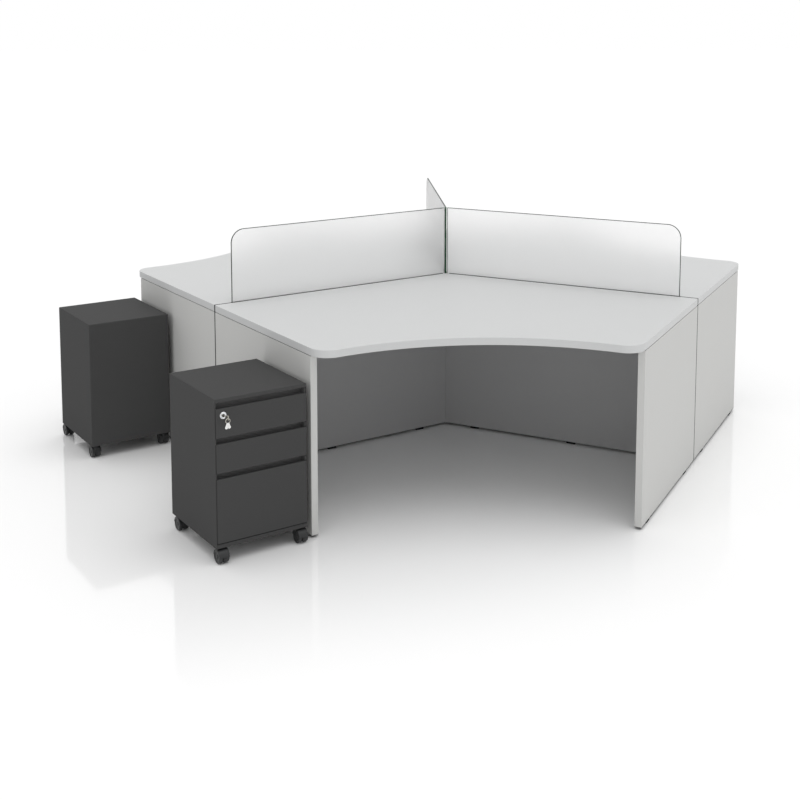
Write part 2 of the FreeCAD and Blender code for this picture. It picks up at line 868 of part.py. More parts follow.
def make_castor_housing():
    """The hood over the wheels, the fin between them and the stem on the swivel axis."""
    crown_top = d.pedestal_underside - d.turning_clearance
    skirt = d.wheel_radius + d.hood_skirt
    crown = rod(d.crown_radius, crown_top - skirt, (ZERO, ZERO, skirt))
    hood = fuse(cut(castor_rod(hood_radius, castor_width), below(skirt)), crown)
    shell = cut(hood, castor_rod(hood_room, castor_width + d.overrun * 2.0))
    fin = cut(castor_rod(hood_radius, d.fin_width), below(d.fin_ground_clearance))
    stem_foot = crown_top - d.hood_thickness
    stem_length = d.pedestal_underside + d.sheet + d.socket_height - stem_foot
    stem = rod(d.stem_radius, stem_length, (ZERO, ZERO, stem_foot))
    bore = castor_rod(d.axle_radius + d.running_clearance, d.fin_width + d.overrun * 2.0)
    return cut(fuse(shell, fin, stem), bore)


def make_castor_wheels():
    """Two wheels and the axle between them."""
    pieces = [castor_rod(d.axle_radius, castor_width - d.wheel_width * 2.0)]
    for start in (-(castor_width / 2), castor_width / 2 - d.wheel_width):
        pieces.append(rod(d.wheel_radius, d.wheel_width, (start, -d.castor_trail, d.wheel_radius), ACROSS))
    return pieces


# Where the front left corner of each pedestal stands, and how far the pedestal is turned.
beside_wing = d.wing_length + d.pedestal_gap
pedestals = (
    (
        "front_pedestal",
        LEFT_WING_ANGLE - 180,
        wing_point(LEFT, beside_wing + d.pedestal_width, d.pedestal_front, ZERO),
    ),
    ("left_pedestal", LEFT_WING_ANGLE, wing_point(LEFT, beside_wing, -d.pedestal_front, ZERO)),
)


def pedestal_point(turn, corner, x, y):
    """A point of the floor from a place in a pedestal."""
    cos, sin = math.cos(math.radians(turn)), math.sin(math.radians(turn))
    return corner[0] + x * cos - y * sin, corner[1] + x * sin + y * cos, ZERO


def build_pedestals():
    """Both pedestals, back to back: one beside the front desk, one beside the left desk."""
    key = make_key()
    lock_body = make_lock_body()
    pieces = {
        "carcass": [make_carcass()],
        "base_pan": [make_base()],
        "runners": make_runners(),
        "lock_barrel": [cut(lock_body, make_plug_bore())],
        "lock_plug": [make_plug(key)],
        "key": [key],
        "key_tag": [make_key_tag()],
    }
    for name, (foot, head) in drawer_levels.items():
        drawer = make_drawer(foot, head)
        pieces[name] = [cut(drawer, lock_body) if name == "top_drawer" else drawer]
    housing = make_castor_housing()
    wheels = make_castor_wheels()
    for name, turn, corner in pedestals:
        for word, solids in pieces.items():
            node(f"{name}_{word}", solids, turn, corner)
        for word, x, y in castor_places:
            place = pedestal_point(turn, corner, x, y)
            node(f"{name}_{word}_castor", [housing], turn, place)
            node(f"{name}_{word}_wheels", wheels, turn, place)


build_desks()
build_pedestals()
doc.recompute()

# The origin is on the floor at the middle of the footprint.
whole = FreeCAD.BoundBox()
for feature in nodes.values():
    whole.add(feature.Shape.optimalBoundingBox(False, False))
sheet.set(sheet.getCellFromAlias("footprint_x"), str(whole.Center.x))
sheet.set(sheet.getCellFromAlias("footprint_y"), str(whole.Center.y))
doc.recompute()

for feature in doc.Objects:
    if "Invalid" in feature.State or "Error" in feature.State:
        raise RuntimeError(f"{feature.Name} failed: {feature.State}")
for name, feature in nodes.items():
    if feature.Shape.isNull() or not feature.Shape.isValid() or not feature.Shape.Solids:
        raise RuntimeError(f"{name} has no valid shape")

os.makedirs("parts", exist_ok=True)
for name, feature in nodes.items():
    feature.Shape.exportStep(f"parts/{name}.step")
    print(f"{name}: {len(feature.Shape.Solids)} solid(s), {feature.Shape.Volume / 1000:.1f} cm3")
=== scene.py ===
import json
import math

import bpy
import numpy as np
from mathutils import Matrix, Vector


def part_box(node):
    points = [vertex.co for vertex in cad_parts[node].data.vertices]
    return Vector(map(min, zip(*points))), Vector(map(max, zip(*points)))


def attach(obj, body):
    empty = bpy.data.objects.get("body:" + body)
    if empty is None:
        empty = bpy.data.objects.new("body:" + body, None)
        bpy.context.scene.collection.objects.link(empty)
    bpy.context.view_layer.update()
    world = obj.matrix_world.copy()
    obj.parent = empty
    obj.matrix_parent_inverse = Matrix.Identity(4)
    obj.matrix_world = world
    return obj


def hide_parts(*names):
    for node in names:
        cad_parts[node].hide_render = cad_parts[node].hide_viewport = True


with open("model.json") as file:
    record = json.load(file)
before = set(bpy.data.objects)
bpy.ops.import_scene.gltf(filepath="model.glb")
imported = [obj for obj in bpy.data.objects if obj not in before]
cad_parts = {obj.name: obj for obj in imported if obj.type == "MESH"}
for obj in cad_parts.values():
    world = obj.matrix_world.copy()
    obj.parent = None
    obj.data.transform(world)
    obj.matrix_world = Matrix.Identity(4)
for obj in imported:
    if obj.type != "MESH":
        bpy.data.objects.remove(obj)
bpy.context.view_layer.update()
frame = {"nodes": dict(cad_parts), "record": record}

# Sizes in metres, directions and turns in degrees. Places on a desk are counted along a wing from
# the axis of the cluster, in front of the seam of two back-to-back desks, and up from the floor.
LEFT_WING = 210
RIGHT_WING = 330
REAR_WING = 90
WING_HALF_ANGLE = math.radians(60)
UP = np.array([0.0, 0.0, 1.0])

# Worktops and panels
WING_LENGTH = 1.2
WING_DEPTH = 0.9
WORKTOP_CORNER = 0.075
WORKTOP_SMALL_CORNER = 0.0025
WORKTOP_TOP = 0.733
WORKTOP_THICKNESS = 0.03
WORKTOP_BAND = 0.002
HALF_SEAM = 0.004
PANEL_TOP = WORKTOP_TOP - WORKTOP_THICKNESS
PANEL_FOOT = 0.008
END_PANEL_DEPTH = 0.825
END_PANEL_THICKNESS = 0.028
END_PANEL_BAND = 0.001
END_PANEL_CORNER = 0.0015
MODESTY_THICKNESS = 0.018
MODESTY_BAND = 0.0006
MODESTY_CORNER = 0.0008
# The black strips under the worktop and at the panels' feet are painted shade: they darken the
# joint under the worktop and the gap over the floor.
PACKING = 0.002
PACKING_MARGIN = 0.003
FOOT_BAND = 0.0016
FOOT_BAND_MARGIN = 0.0004
STRIP_CORNER = 0.001
GLIDE_LENGTH = 0.042
GLIDE_INSET = 0.001
GLIDE_CORNER = 0.004
MODESTY_GLIDES = (0.16, 0.64)
END_GLIDES = (0.155, 0.73)

# Screens
SCREEN_START = 0.006
SCREEN_REACH = 1.12
SCREEN_FOOT = 0.533
SCREEN_HEAD = 1.048
SCREEN_THICKNESS = 0.006
SCREEN_CORNER = 0.06
SCREEN_SMALL_CORNER = 0.003
SEAL_START = 0.02
SEAL_GAP = 0.0013
rear_low, rear_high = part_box("rear_screen")
CLUSTER_AXIS = np.array([(rear_low.x + rear_high.x) / 2, rear_low.y - SCREEN_START])

# Pedestals: their turn, their place by the left wing, their carcass and their drawers
PEDESTAL_WIDTH = 0.37
PEDESTAL_DEPTH = 0.4
PEDESTAL_TOP = 0.608
PEDESTAL_FOOT = 0.057
PEDESTAL_GAP = 0.026
PEDESTAL_FRONT = 0.84
PEDESTALS = {
    "front_pedestal": (30, WING_LENGTH + PEDESTAL_GAP + PEDESTAL_WIDTH, PEDESTAL_FRONT),
    "left_pedestal": (210, WING_LENGTH + PEDESTAL_GAP, -PEDESTAL_FRONT),
}
SHEET = 0.0012
SKIN_FOLD = 0.004
LIP_FOLD = 0.0012
FRONT_FOLD = 0.0014
LEAST_CORNER = 0.0004
EDGE = 0.0026
POST = 0.009
RETURN_DEPTH = 0.014
TOP_RAIL = 0.014
BASE_RAIL_TOP = 0.074
BASE_BEND = 0.0026
DRAWERS = {
    "top_drawer": (0.465, 0.572),
    "middle_drawer": (0.336, 0.443),
    "file_drawer": (0.077, 0.314),
}
FRONT_FACE = -0.003
FRONT_BACK = 0.013
FRONT_LEFT = 0.0034
FRONT_RIGHT = 0.3666
FRONT_CORNER = 0.0022
TROUGH_DEPTH = 0.012
TROUGH_BEND = 0.0016
TROUGH_TUCK = 0.001
RISER = 0.0194
CHEEK_GAP = 0.0005
CHEEK_INSET = 0.006
CHEEK_CORNERS = (0.001, 0.001, 0.003, 0.001)
BOX_LEFT = 0.0167
BOX_RIGHT = 0.3533
BOX_FRONT = 0.035
BOX_BACK = 0.3848
BOX_RISE = 0.008
BOX_HEAD_GAP = 0.005
BOX_CORNER = 0.0026
BOX_FOLD = 0.002
SLIDE_FOOT = 0.0355
SLIDE_HEAD = 0.0505
SLIDE_BACK = 0.3644
SLIDE_GAP = 0.0008
SLIDE_CORNER = 0.002

# Lock, key and tags. The key's outlines and the tag's are given as left, foot, right and head.
LOCK_PLACE = (0.032, 0.547)
KEY_BOW_RADIUS = 0.01
KEY_BOW_THICKNESS = 0.002
KEY_HOLE_RADIUS = 0.003
KEY_HOLE_OFFSET = 0.004
KEY_NECK = (0.0082, -0.0046, 0.0165, 0.0046)
KEY_NECK_CORNER = 0.0012
KEY_NECK_THICKNESS = 0.0022
KEY_BLADE = (0.0155, -0.0034, 0.046, 0.0034)
KEY_BLADE_CORNERS = (0.0022, 0.0022, 0.0004, 0.0004)
KEY_BLADE_THICKNESS = 0.0018
KEY_RING_FRONT = -0.041
KEY_RING_RADIUS = 0.0085
KEY_RING_WIRE = 0.0011
KEY_RING_DROP = 0.0016
TAG = (-0.0052, -0.0208, 0.0052, 0.0008)
TAG_CORNERS = (0.0034, 0.0024, 0.0024, 0.0034)
TAG_THICKNESS = 0.0012
TAG_TURN = 22
TAG_STEP = 0.0013

# Castors
CASTOR_INSET = 0.024
CASTOR_TRAIL = 0.012
CASTOR_WIDTH = 0.0398
WHEEL_RADIUS = 0.025
WHEEL_WIDTH = 0.0155
WHEEL_SHOULDER = 0.0032
HOOD_RADIUS = 0.028
HOOD_SHOULDER = 0.0024
HOOD_WALL = 0.0016
HOOD_ENDS = (176, 4)
FIN_WIDTH = 0.0072
FIN_GAP = 0.001
FIN_ENDS = (-36, 216)
AXIS_GAP = 0.0005
CASTORS = (
    ("front_left", CASTOR_INSET, CASTOR_INSET),
    ("front_right", PEDESTAL_WIDTH - CASTOR_INSET, CASTOR_INSET),
    ("back_left", CASTOR_INSET, PEDESTAL_DEPTH - CASTOR_INSET),
    ("back_right", PEDESTAL_WIDTH - CASTOR_INSET, PEDESTAL_DEPTH - CASTOR_INSET),
)

# How edges are rounded: a radius and the steps round it
CORE_ARRIS = (0.00012, 2)
THIN_ARRIS = (0.0002, 2)
SEAM_ARRIS = (0.0006, 3)
PANE_ARRIS = (0.0026, 6)
GLIDE_ARRIS = (0.0012, 4)
FRONT_ARRIS = (0.0018, 6)
SLIDE_ARRIS = (0.001, 3)
BOW_ARRIS = (0.0005, 4)
NECK_ARRIS = (0.0005, 3)
BLADE_ARRIS = (0.0003, 2)
TAG_ARRIS = (0.0004, 3)
FIN_ARRIS = (0.001, 3)

# Turned profiles: a radius and a level at each point
SOCKET_PROFILE = (
    (0.0090, 0.0004), (0.0090, 0.0144), (0.0084, 0.0151), (0.0056, 0.0151),
    (0.0051, 0.0146), (0.0051, 0.0004),
)
ROSETTE_PROFILE = (
    (0.0132, 0.0000), (0.0132, 0.0006), (0.0129, 0.0013), (0.0123, 0.0019),
    (0.0114, 0.0023), (0.0103, 0.0025), (0.0094, 0.0024), (0.0088, 0.0019),
    (0.0083, 0.0019), (0.0079, 0.0024), (0.0074, 0.0025), (0.0060, 0.0025),
    (0.0056, 0.0021), (0.0056, -0.0200), (0.0090, -0.0200), (0.0090, 0.0000),
)
SLEEVE_PROFILE = (
    (0.0004, -0.0034), (0.0013, -0.0034), (0.0018, -0.0029), (0.0018, 0.0029),
    (0.0013, 0.0034), (0.0004, 0.0034),
)
WHEEL_FACE_PROFILE = (
    (AXIS_GAP, 0.0004), (0.0050, 0.0004), (0.0058, 0.0008), (0.0062, 0.0016),
    (0.0066, 0.0026), (0.0074, 0.0030), (0.0178, 0.0026), (0.0188, 0.0020),
    (0.0194, 0.0008), (0.0202, 0.0001),
)
CASTOR_NECK_PROFILE = (
    (AXIS_GAP, 0.0300), (0.0135, 0.0300), (0.0135, 0.0475), (0.0130, 0.0490),
    (0.0118, 0.0502), (0.0112, 0.0515), (0.0110, 0.0555), (0.0106, 0.0563),
    (0.0098, 0.0567), (AXIS_GAP, 0.0567),
)


# Colours and materials

BUMP = "ShaderNodeBump"
MIX = "ShaderNodeMix"
NOISE = "ShaderNodeTexNoise"
RANGE = "ShaderNodeMapRange"
SURFACE = "ShaderNodeBsdfPrincipled"
VECTOR = "ShaderNodeVectorMath"


def linear(code):
    """An sRGB hex code in linear light."""
    parts = [int(code[i : i + 2], 16) / 255 for i in (1, 3, 5)]
    return (*(c / 12.92 if c <= 0.04045 else ((c + 0.055) / 1.055) ** 2.4 for c in parts), 1.0)


def add(tree, kind, values=None, **settings):
    """Adds a node with its settings. The values go to its inputs, and one that is a socket is
    linked."""
    node = tree.nodes.new(kind)
    for key, value in settings.items():
        setattr(node, key, value)
    for key, value in (values or {}).items():
        if isinstance(value, bpy.types.NodeSocket):
            tree.links.new(value, node.inputs[key])
        else:
            node.inputs[key].default_value = value
    return node


def start_material(name):
    """An empty material, its node tree and the place of a point on its piece, in metres."""
    material = bpy.data.materials.new(name)
    material.use_nodes = True
    tree = material.node_tree
    tree.nodes.clear()
    return material, tree, add(tree, "ShaderNodeTexCoord").outputs["Object"]


def show(tree, shader):
    """Makes a shader the surface of a material."""
    add(tree, "ShaderNodeOutputMaterial", {"Surface": shader})


def per_millimetre(size):
    """The scale of a pattern whose grains are so many millimetres across."""
    return 1000 / size


def melamine(name, pale, dark, sheen):
    """Melamine paper pressed on chipboard: a printed grain of about a millimetre, a sheen that
    wanders a little over a hand's breadth with the press plate, and a pearl texture that breaks
    the sheen up."""
    material, tree, place = start_material(name)
    grain = add(tree, NOISE, {"Vector": place, "Scale": per_millimetre(1.1), "Detail": 2.0})
    spread = add(tree, RANGE, {"Value": grain.outputs["Fac"], "From Min": 0.3, "From Max": 0.7})
    blend = {0: spread.outputs[0], 6: linear(dark), 7: linear(pale)}
    colour = add(tree, MIX, blend, data_type="RGBA")
    plate = add(tree, NOISE, {"Vector": place, "Scale": per_millimetre(120), "Detail": 2.0})
    sheens = {"Value": plate.outputs["Fac"], "To Min": sheen - 0.03, "To Max": sheen + 0.03}
    rough = add(tree, RANGE, sheens)
    pearl = add(tree, NOISE, {"Vector": place, "Scale": per_millimetre(0.5), "Detail": 1.0})
    bump = add(tree, BUMP, {"Height": pearl.outputs["Fac"], "Strength": 0.25, "Distance": 0.00004})
    look = {
        "Base Color": colour.outputs[2],
        "Roughness": rough.outputs[0],
        "Specular IOR Level": 0.25,
        "Normal": bump.outputs[0],
    }
    show(tree, add(tree, SURFACE, look).outputs[0])
    return material


def powder_coat(name, pale, dark):
    """Powder paint baked on sheet steel: an orange-peel skin of millimetre bumps with hardly any
    sheen, and finer specks of paler and darker powder."""
    material, tree, place = start_material(name)
    specks = add(tree, NOISE, {"Vector": place, "Scale": per_millimetre(0.7), "Detail": 2.0})
    spread = add(tree, RANGE, {"Value": specks.outputs["Fac"], "From Min": 0.3, "From Max": 0.7})
    blend = {0: spread.outputs[0], 6: linear(dark), 7: linear(pale)}
    colour = add(tree, MIX, blend, data_type="RGBA")
    peel = add(tree, NOISE, {"Vector": place, "Scale": per_millimetre(1.6), "Detail": 1.5})
    bump = add(tree, BUMP, {"Height": peel.outputs["Fac"], "Strength": 0.35, "Distance": 0.0001})
    rough = add(tree, RANGE, {"Value": specks.outputs["Fac"], "To Min": 0.64, "To Max": 0.74})
    look = {
        "Base Color": colour.outputs[2],
        "Roughness": rough.outputs[0],
        "Specular IOR Level": 0.05,
        "Normal": bump.outputs[0],
    }
    show(tree, add(tree, SURFACE, look).outputs[0])
    return material


def plated_steel(name, pale, dark, smooth, rough):
    """Plated steel: bright metal whose polish wanders a little, with drawing lines too fine to
    part."""
    material, tree, place = start_material(name)
    wander = add(tree, NOISE, {"Vector": place, "Scale": per_millimetre(6), "Detail": 3.0})
    blend = {0: wander.outputs["Fac"], 6: linear(dark), 7: linear(pale)}
    colour = add(tree, MIX, blend, data_type="RGBA")
    polish = add(tree, RANGE, {"Value": wander.outputs["Fac"], "To Min": smooth, "To Max": rough})
    look = {"Base Color": colour.outputs[2], "Roughness": polish.outputs[0], "Metallic": 1.0}
    show(tree, add(tree, SURFACE, look).outputs[0])
    return material


def moulded_plastic(name, pale, dark, smooth, rough, grain):
    """Moulded plastic: the spark-eroded grain of the mould on an even colour."""
    material, tree, place = start_material(name)
    erosion = add(tree, NOISE, {"Vector": place, "Scale": per_millimetre(grain), "Detail": 2.0})
    height = erosion.outputs["Fac"]
    blend = {0: height, 6: linear(dark), 7: linear(pale)}
    colour = add(tree, MIX, blend, data_type="RGBA")
    polish = add(tree, RANGE, {"Value": height, "To Min": smooth, "To Max": rough})
    bump = add(tree, BUMP, {"Height": height, "Strength": 0.2, "Distance": 0.00005})
    look = {
        "Base Color": colour.outputs[2],
        "Roughness": polish.outputs[0],
        "Normal": bump.outputs[0],
    }
    show(tree, add(tree, SURFACE, look).outputs[0])
    return material


def rubber(name, pale, dark):
    """Extruded rubber: dull, with the fine chalky bloom of old rubber."""
    material, tree, place = start_material(name)
    bloom = add(tree, NOISE, {"Vector": place, "Scale": per_millimetre(2), "Detail": 3.0})
    blend = {0: bloom.outputs["Fac"], 6: linear(dark), 7: linear(pale)}
    colour = add(tree, MIX, blend, data_type="RGBA")
    rough = add(tree, RANGE, {"Value": bloom.outputs["Fac"], "To Min": 0.75, "To Max": 0.9})
    look = {
        "Base Color": colour.outputs[2],
        "Roughness": rough.outputs[0],
        "Specular IOR Level": 0.08,
    }
    show(tree, add(tree, SURFACE, look).outputs[0])
    return material


def etched_glass():
    """Satin-etched glass: what stands behind it shows as a soft blur, and the etch wanders by a
    few shades."""
    material, tree, place = start_material("etched_glass")
    etch = add(tree, NOISE, {"Vector": place, "Scale": per_millimetre(60), "Detail": 4.0})
    rough = add(tree, RANGE, {"Value": etch.outputs["Fac"], "To Min": 0.28, "To Max": 0.34})
    look = {
        "Base Color": linear("#FEFEFE"),
        "Roughness": rough.outputs[0],
        "Transmission Weight": 1.0,
        "IOR": 1.5,
    }
    show(tree, add(tree, SURFACE, look).outputs[0])
    return material


def glass_edge():
    """The ground edge of the glass: dark, because light reaches it along the pane, and deep green
    where the three panes stand together."""
    material, tree, place = start_material("ground_glass_edge")
    depth = add(tree, NOISE, {"Vector": place, "Scale": per_millimetre(35), "Detail": 2.0})
    greys = {0: depth.outputs["Fac"], 6: linear("#2C3330"), 7: linear("#424A46")}
    outer = add(tree, MIX, greys, data_type="RGBA")
    greens = {0: depth.outputs["Fac"], 6: linear("#00371A"), 7: linear("#05582B")}
    inner = add(tree, MIX, greens, data_type="RGBA")
    level = add(tree, VECTOR, {0: place, 1: (1.0, 1.0, 0.0)}, operation="MULTIPLY")
    axis = (*CLUSTER_AXIS, 0.0)
    away = add(tree, VECTOR, {0: level.outputs[0], 1: axis}, operation="DISTANCE")
    share = add(tree, RANGE, {"Value": away.outputs["Value"], "From Min": 0.015, "From Max": 0.05})
    blend = {0: share.outputs[0], 6: inner.outputs[2], 7: outer.outputs[2]}
    colour = add(tree, MIX, blend, data_type="RGBA")
    look = {"Base Color": colour.outputs[2], "Roughness": 0.3, "Specular IOR Level": 0.05}
    show(tree, add(tree, SURFACE, look).outputs[0])
    return material


def beech():
    """Turned beech: straight pale grain with short darker flecks."""
    material, tree, place = start_material("turned_beech")
    grain = add(tree, "ShaderNodeMapping", {"Vector": place, "Scale": (1.0, 1.0, 0.08)}).outputs[0]
    flecks = add(tree, NOISE, {"Vector": grain, "Scale": per_millimetre(1.2), "Detail": 3.0})
    blend = {0: flecks.outputs["Fac"], 6: linear("#B98D5E"), 7: linear("#D9B98C")}
    colour = add(tree, MIX, blend, data_type="RGBA")
    look = {"Base Color": colour.outputs[2], "Roughness": 0.6}
    show(tree, add(tree, SURFACE, look).outputs[0])
    return material


FINISHES = {
    "worktop_laminate": melamine("light_grey_melamine", "#D0D1D1", "#CBCCCC", 0.5),
    "end_panel_laminate": melamine("warm_grey_melamine", "#CCCCCA", "#C7C7C5", 0.5),
    "modesty_laminate": melamine("dark_grey_melamine", "#B4B4B5", "#AEAEAF", 0.5),
    "frosted_glass": etched_glass(),
    "graphite_steel": powder_coat("graphite_powder_coat", "#4B4B4B", "#444444"),
    "zinc_steel": plated_steel("bright_zinc", "#C9CBCD", "#B1B4B8", 0.25, 0.4),
    "chrome": plated_steel("polished_chrome", "#E6E7E9", "#DADBDE", 0.04, 0.1),
    "nickel_steel": plated_steel("nickel_plate", "#CFCBC2", "#BDB9B0", 0.15, 0.28),
    "white_plastic": moulded_plastic("white_tag_plastic", "#F2F2F0", "#EAEAE8", 0.25, 0.35, 0.4),
    "black_plastic": moulded_plastic("black_moulding", "#222324", "#191A1B", 0.4, 0.55, 0.5),
    "castor_nylon": moulded_plastic("black_castor_nylon", "#2A2B2C", "#1E1F20", 0.35, 0.5, 0.6),
    "beech": beech(),
}
GLASS_EDGE = glass_edge()
WORKTOP_EDGING = moulded_plastic("light_grey_edging", "#CCCDCD", "#C7C8C8", 0.4, 0.5, 0.6)
END_PANEL_EDGING = moulded_plastic("warm_grey_edging", "#CACAC8", "#C5C5C3", 0.4, 0.5, 0.6)
MODESTY_EDGING = moulded_plastic("dark_grey_edging", "#B1B1B1", "#ACACAC", 0.4, 0.5, 0.6)
# Black rubber for the glides under the panels, and for the strips in the joints, seams and gaps of
# the desks, whose black is painted shade along lines that fall in shade.
BLACK_RUBBER_AND_PAINTED_SHADE = rubber("black_rubber", "#1E1F1F", "#141515")
RUBBER_AND_SHADE_TRIM = ("desk_cluster", "black_plastic", [BLACK_RUBBER_AND_PAINTED_SHADE])
# A paler copy of the graphite powder coat for the pull troughs and their cheeks: painted light
# against the shade deep in the recess behind each front's head.
PAINTED_LIGHT_PULL_PAINT = powder_coat("pale_graphite_powder_coat", "#747474", "#6A6A6A")
# A darkened copy of the nickel plate: painted shade for the lock plugs, sunk in the rosettes under
# the keys' bows.
PAINTED_SHADE_NICKEL = plated_steel("dark_nickel_plate", "#5E5E5C", "#4A4A48", 0.3, 0.45)

for subpart in frame["record"]["subparts"]:
    solid = frame["nodes"][subpart["node"]]
    solid.data.materials.clear()
    solid.data.materials.append(FINISHES[subpart["material_slot"]])
# Painted shade: each lock plug takes the darkened copy of the nickel plate.
for pedestal_name in PEDESTALS:
    frame["nodes"][f"{pedestal_name}_lock_plug"].data.materials[0] = PAINTED_SHADE_NICKEL


# Outlines, grids and pieces


def unit(angle):
    """The level direction at an angle in degrees."""
    return np.array([math.cos(math.radians(angle)), math.sin(math.radians(angle))])


def arc(centre, radius, start, end, steps, hollow=False):
    """Points on a circle from one angle to another, and the way that is outward at each."""
    turn = np.radians(np.linspace(start, end, steps + 1))
    ray = np.stack([np.cos(turn), np.sin(turn)], axis=1)
    return np.asarray(centre) + radius * ray, -ray if hollow else ray


def outline(*arcs):
    """A closed outline of arcs, with straight runs from the end of each to the start of the
    next."""
    return tuple(np.concatenate(parts) for parts in zip(*arcs))


def rectangle(left, foot, right, head, radii, steps):
    """A rectangle whose corners are quarter circles of one radius or of four, from the lower right
    one round to the left."""
    a, b, c, d = np.broadcast_to(radii, 4)
    return outline(
        arc((right - a, foot + a), a, -90, 0, steps),
        arc((right - b, head - b), b, 0, 90, steps),
        arc((left + c, head - c), c, 90, 180, steps),
        arc((left + d, foot + d), d, 180, 270, steps),
    )


def drawn_in(shape, margin):
    """An outline moved inward by a margin."""
    points, outward = shape
    return points - margin * outward, outward


def edge_rings(shape, thickness, radius, steps):
    """Rings of an outline round the edge of a board. While a turns from 0 to a quarter, a ring
    lies radius * (1 - sin a) inside the outline and radius * (1 - cos a) below the upper face, and
    the outward way leans by a. The lower half mirrors the upper one."""
    points, outward = shape
    a = np.linspace(0, math.pi / 2, steps + 1)
    a = np.concatenate([a, a[::-1]])[:, None]
    upper = np.arange(len(a))[:, None] <= steps
    drop = radius * (1 - np.cos(a))
    level = np.where(upper, thickness - drop, drop)
    rise = np.where(upper, np.cos(a), -np.cos(a))
    flat = points - (radius * (1 - np.sin(a)))[:, :, None] * outward
    lean = np.sin(a)[:, :, None] * outward
    whole = np.ones((1, len(points)))
    places = np.dstack([flat, level * whole])
    ways = np.dstack([lean, rise * whole])
    return places, ways


def grid_faces(rows, columns, closed_rows=False, closed_columns=True):
    """Quads between neighbouring rows and columns of points numbered row by row."""
    row = np.arange(rows if closed_rows else rows - 1)[:, None]
    column = np.arange(columns if closed_columns else columns - 1)[None, :]
    below, beside = (row + 1) % rows, (column + 1) % columns
    corners = (
        row * columns + column,
        below * columns + column,
        below * columns + beside,
        row * columns + beside,
    )
    return np.stack(np.broadcast_arrays(*corners), axis=-1).reshape(-1, 4).tolist()


def slab_faces(rows, columns):
    """Quads between the rings of an edge, then the upper and the lower face."""
    upper = list(range(columns))
    lower = list(range(rows * columns - 1, (rows - 1) * columns - 1, -1))
    return grid_faces(rows, columns) + [upper, lower]


class Stand:
    """A place to build at: an origin and three directions, each of length one."""

    def __init__(self, origin, across, up):
        self.origin = np.asarray(origin, float)
        self.axes = np.array([across, up, np.cross(across, up)], float)

    def place(self, points):
        return self.origin + points.reshape(-1, 3) @ self.axes

    def face(self, ways):
        return ways.reshape(-1, 3) @ self.axes


def make_piece(
    name, places, faces, body, slot, finishes=(), ways=None, finish_of=None, replaced=(), flat=0
):
    """A mesh piece that rides on a body, in the finish of its slot unless others are given. It is
    smooth, with the outward ways where they are given, and flat on so many of its last faces."""
    mesh = bpy.data.meshes.new(name)
    mesh.from_pydata(places.tolist(), [], faces)
    for finish in finishes or [FINISHES[slot]]:
        mesh.materials.append(finish)
    mesh.polygons.foreach_set("use_smooth", np.ones(len(mesh.polygons), bool))
    if finish_of is not None:
        mesh.polygons.foreach_set("material_index", finish_of)
    if ways is None:
        mesh.set_sharp_from_angle(angle=math.radians(35))
    else:
        corner = np.empty(len(mesh.loops), np.int32)
        mesh.loops.foreach_get("vertex_index", corner)
        normals = ways[corner]
        if flat:
            sizes = [len(face) for face in faces[-flat:]]
            flat_ways = [face.normal for face in mesh.polygons[len(faces) - flat :]]
            normals[-sum(sizes) :] = np.repeat(flat_ways, sizes, axis=0)
        mesh.normals_split_custom_set(normals.tolist())
    mesh.update()
    piece = bpy.data.objects.new(name, mesh)
    bpy.context.scene.collection.objects.link(piece)
    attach(piece, body)
    if replaced:
        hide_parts(*replaced)


def make_slab(name, shape, thickness, arris, stand, body, slot, finishes=(), replaced=()):
    """A board or pane: the rings of its edge, closed by its two faces. A second finish goes on the
    edge."""
    places, ways = edge_rings(shape, thickness, *arris)
    faces = slab_faces(*places.shape[:2])
    finish_of = np.full(len(faces), max(len(finishes) - 1, 0), dtype=np.int32)
    finish_of[-2:] = 0
    places, ways = stand.place(places), stand.face(ways)
    make_piece(name, places, faces, body, slot, finishes, ways, finish_of, replaced)


def make_banded_board(name, shape, thickness, band, stand, edging, slot, node):
    """A board with its edging: a band with rounded arrises all round, glued to a core that stops
    short by it."""
    body = "desk_cluster"
    core = drawn_in(shape, band)
    make_slab(f"{name}_core", core, thickness, CORE_ARRIS, stand, body, slot, replaced=[node])
    places, ways = edge_rings(shape, thickness, band, 6)
    faces = grid_faces(*places.shape[:2], closed_rows=True)
    places, ways = stand.place(places), stand.face(ways)
    make_piece(f"{name}_edging", places, faces, body, slot, [edging], ways)


def make_pierced_slab(name, shape, hole, thickness, arris, stand, body, slot, replaced):
    """A plate with one round hole: the rings of its edge, then the rings of the hole from below to
    above. Each point of the hole lies on the line from the hole's centre to the point of the
    outline it is joined to."""
    centre, bore = hole
    ray = shape[0] - np.asarray(centre)
    ray = ray / np.linalg.norm(ray, axis=1, keepdims=True)
    outer = edge_rings(shape, thickness, *arris)
    inner = edge_rings((centre + bore * ray, -ray), thickness, *arris)
    places, ways = (np.concatenate([rim, wall[::-1]]) for rim, wall in zip(outer, inner))
    faces = grid_faces(*places.shape[:2], closed_rows=True)
    places, ways = stand.place(places), stand.face(ways)
    make_piece(name, places, faces, body, slot, ways=ways, replaced=replaced)


def lathe(profile, steps, closed=False):
    """A turned shape: each (radius, level) of a profile carried round the axis. An open profile is
    capped at its ends. The axis is the third direction."""
    radius, level = np.asarray(profile, float).T[:, :, None]
    turn = np.linspace(0, 2 * math.pi, steps, endpoint=False)
    places = np.dstack([radius * np.cos(turn), radius * np.sin(turn), level * np.ones(steps)])
    rows = len(profile)
    faces = grid_faces(rows, steps, closed_rows=True) if closed else slab_faces(rows, steps)
    return places[:, ::-1], faces


def joined(parts):
    """Several sets of places and faces as one."""
    places, faces, start = [], [], 0
    for part_places, part_faces in parts:
        flat = part_places.reshape(-1, 3)
        places.append(flat)
        faces += [[corner + start for corner in face] for face in part_faces]
        start += len(flat)
    return np.concatenate(places), faces


# Desks


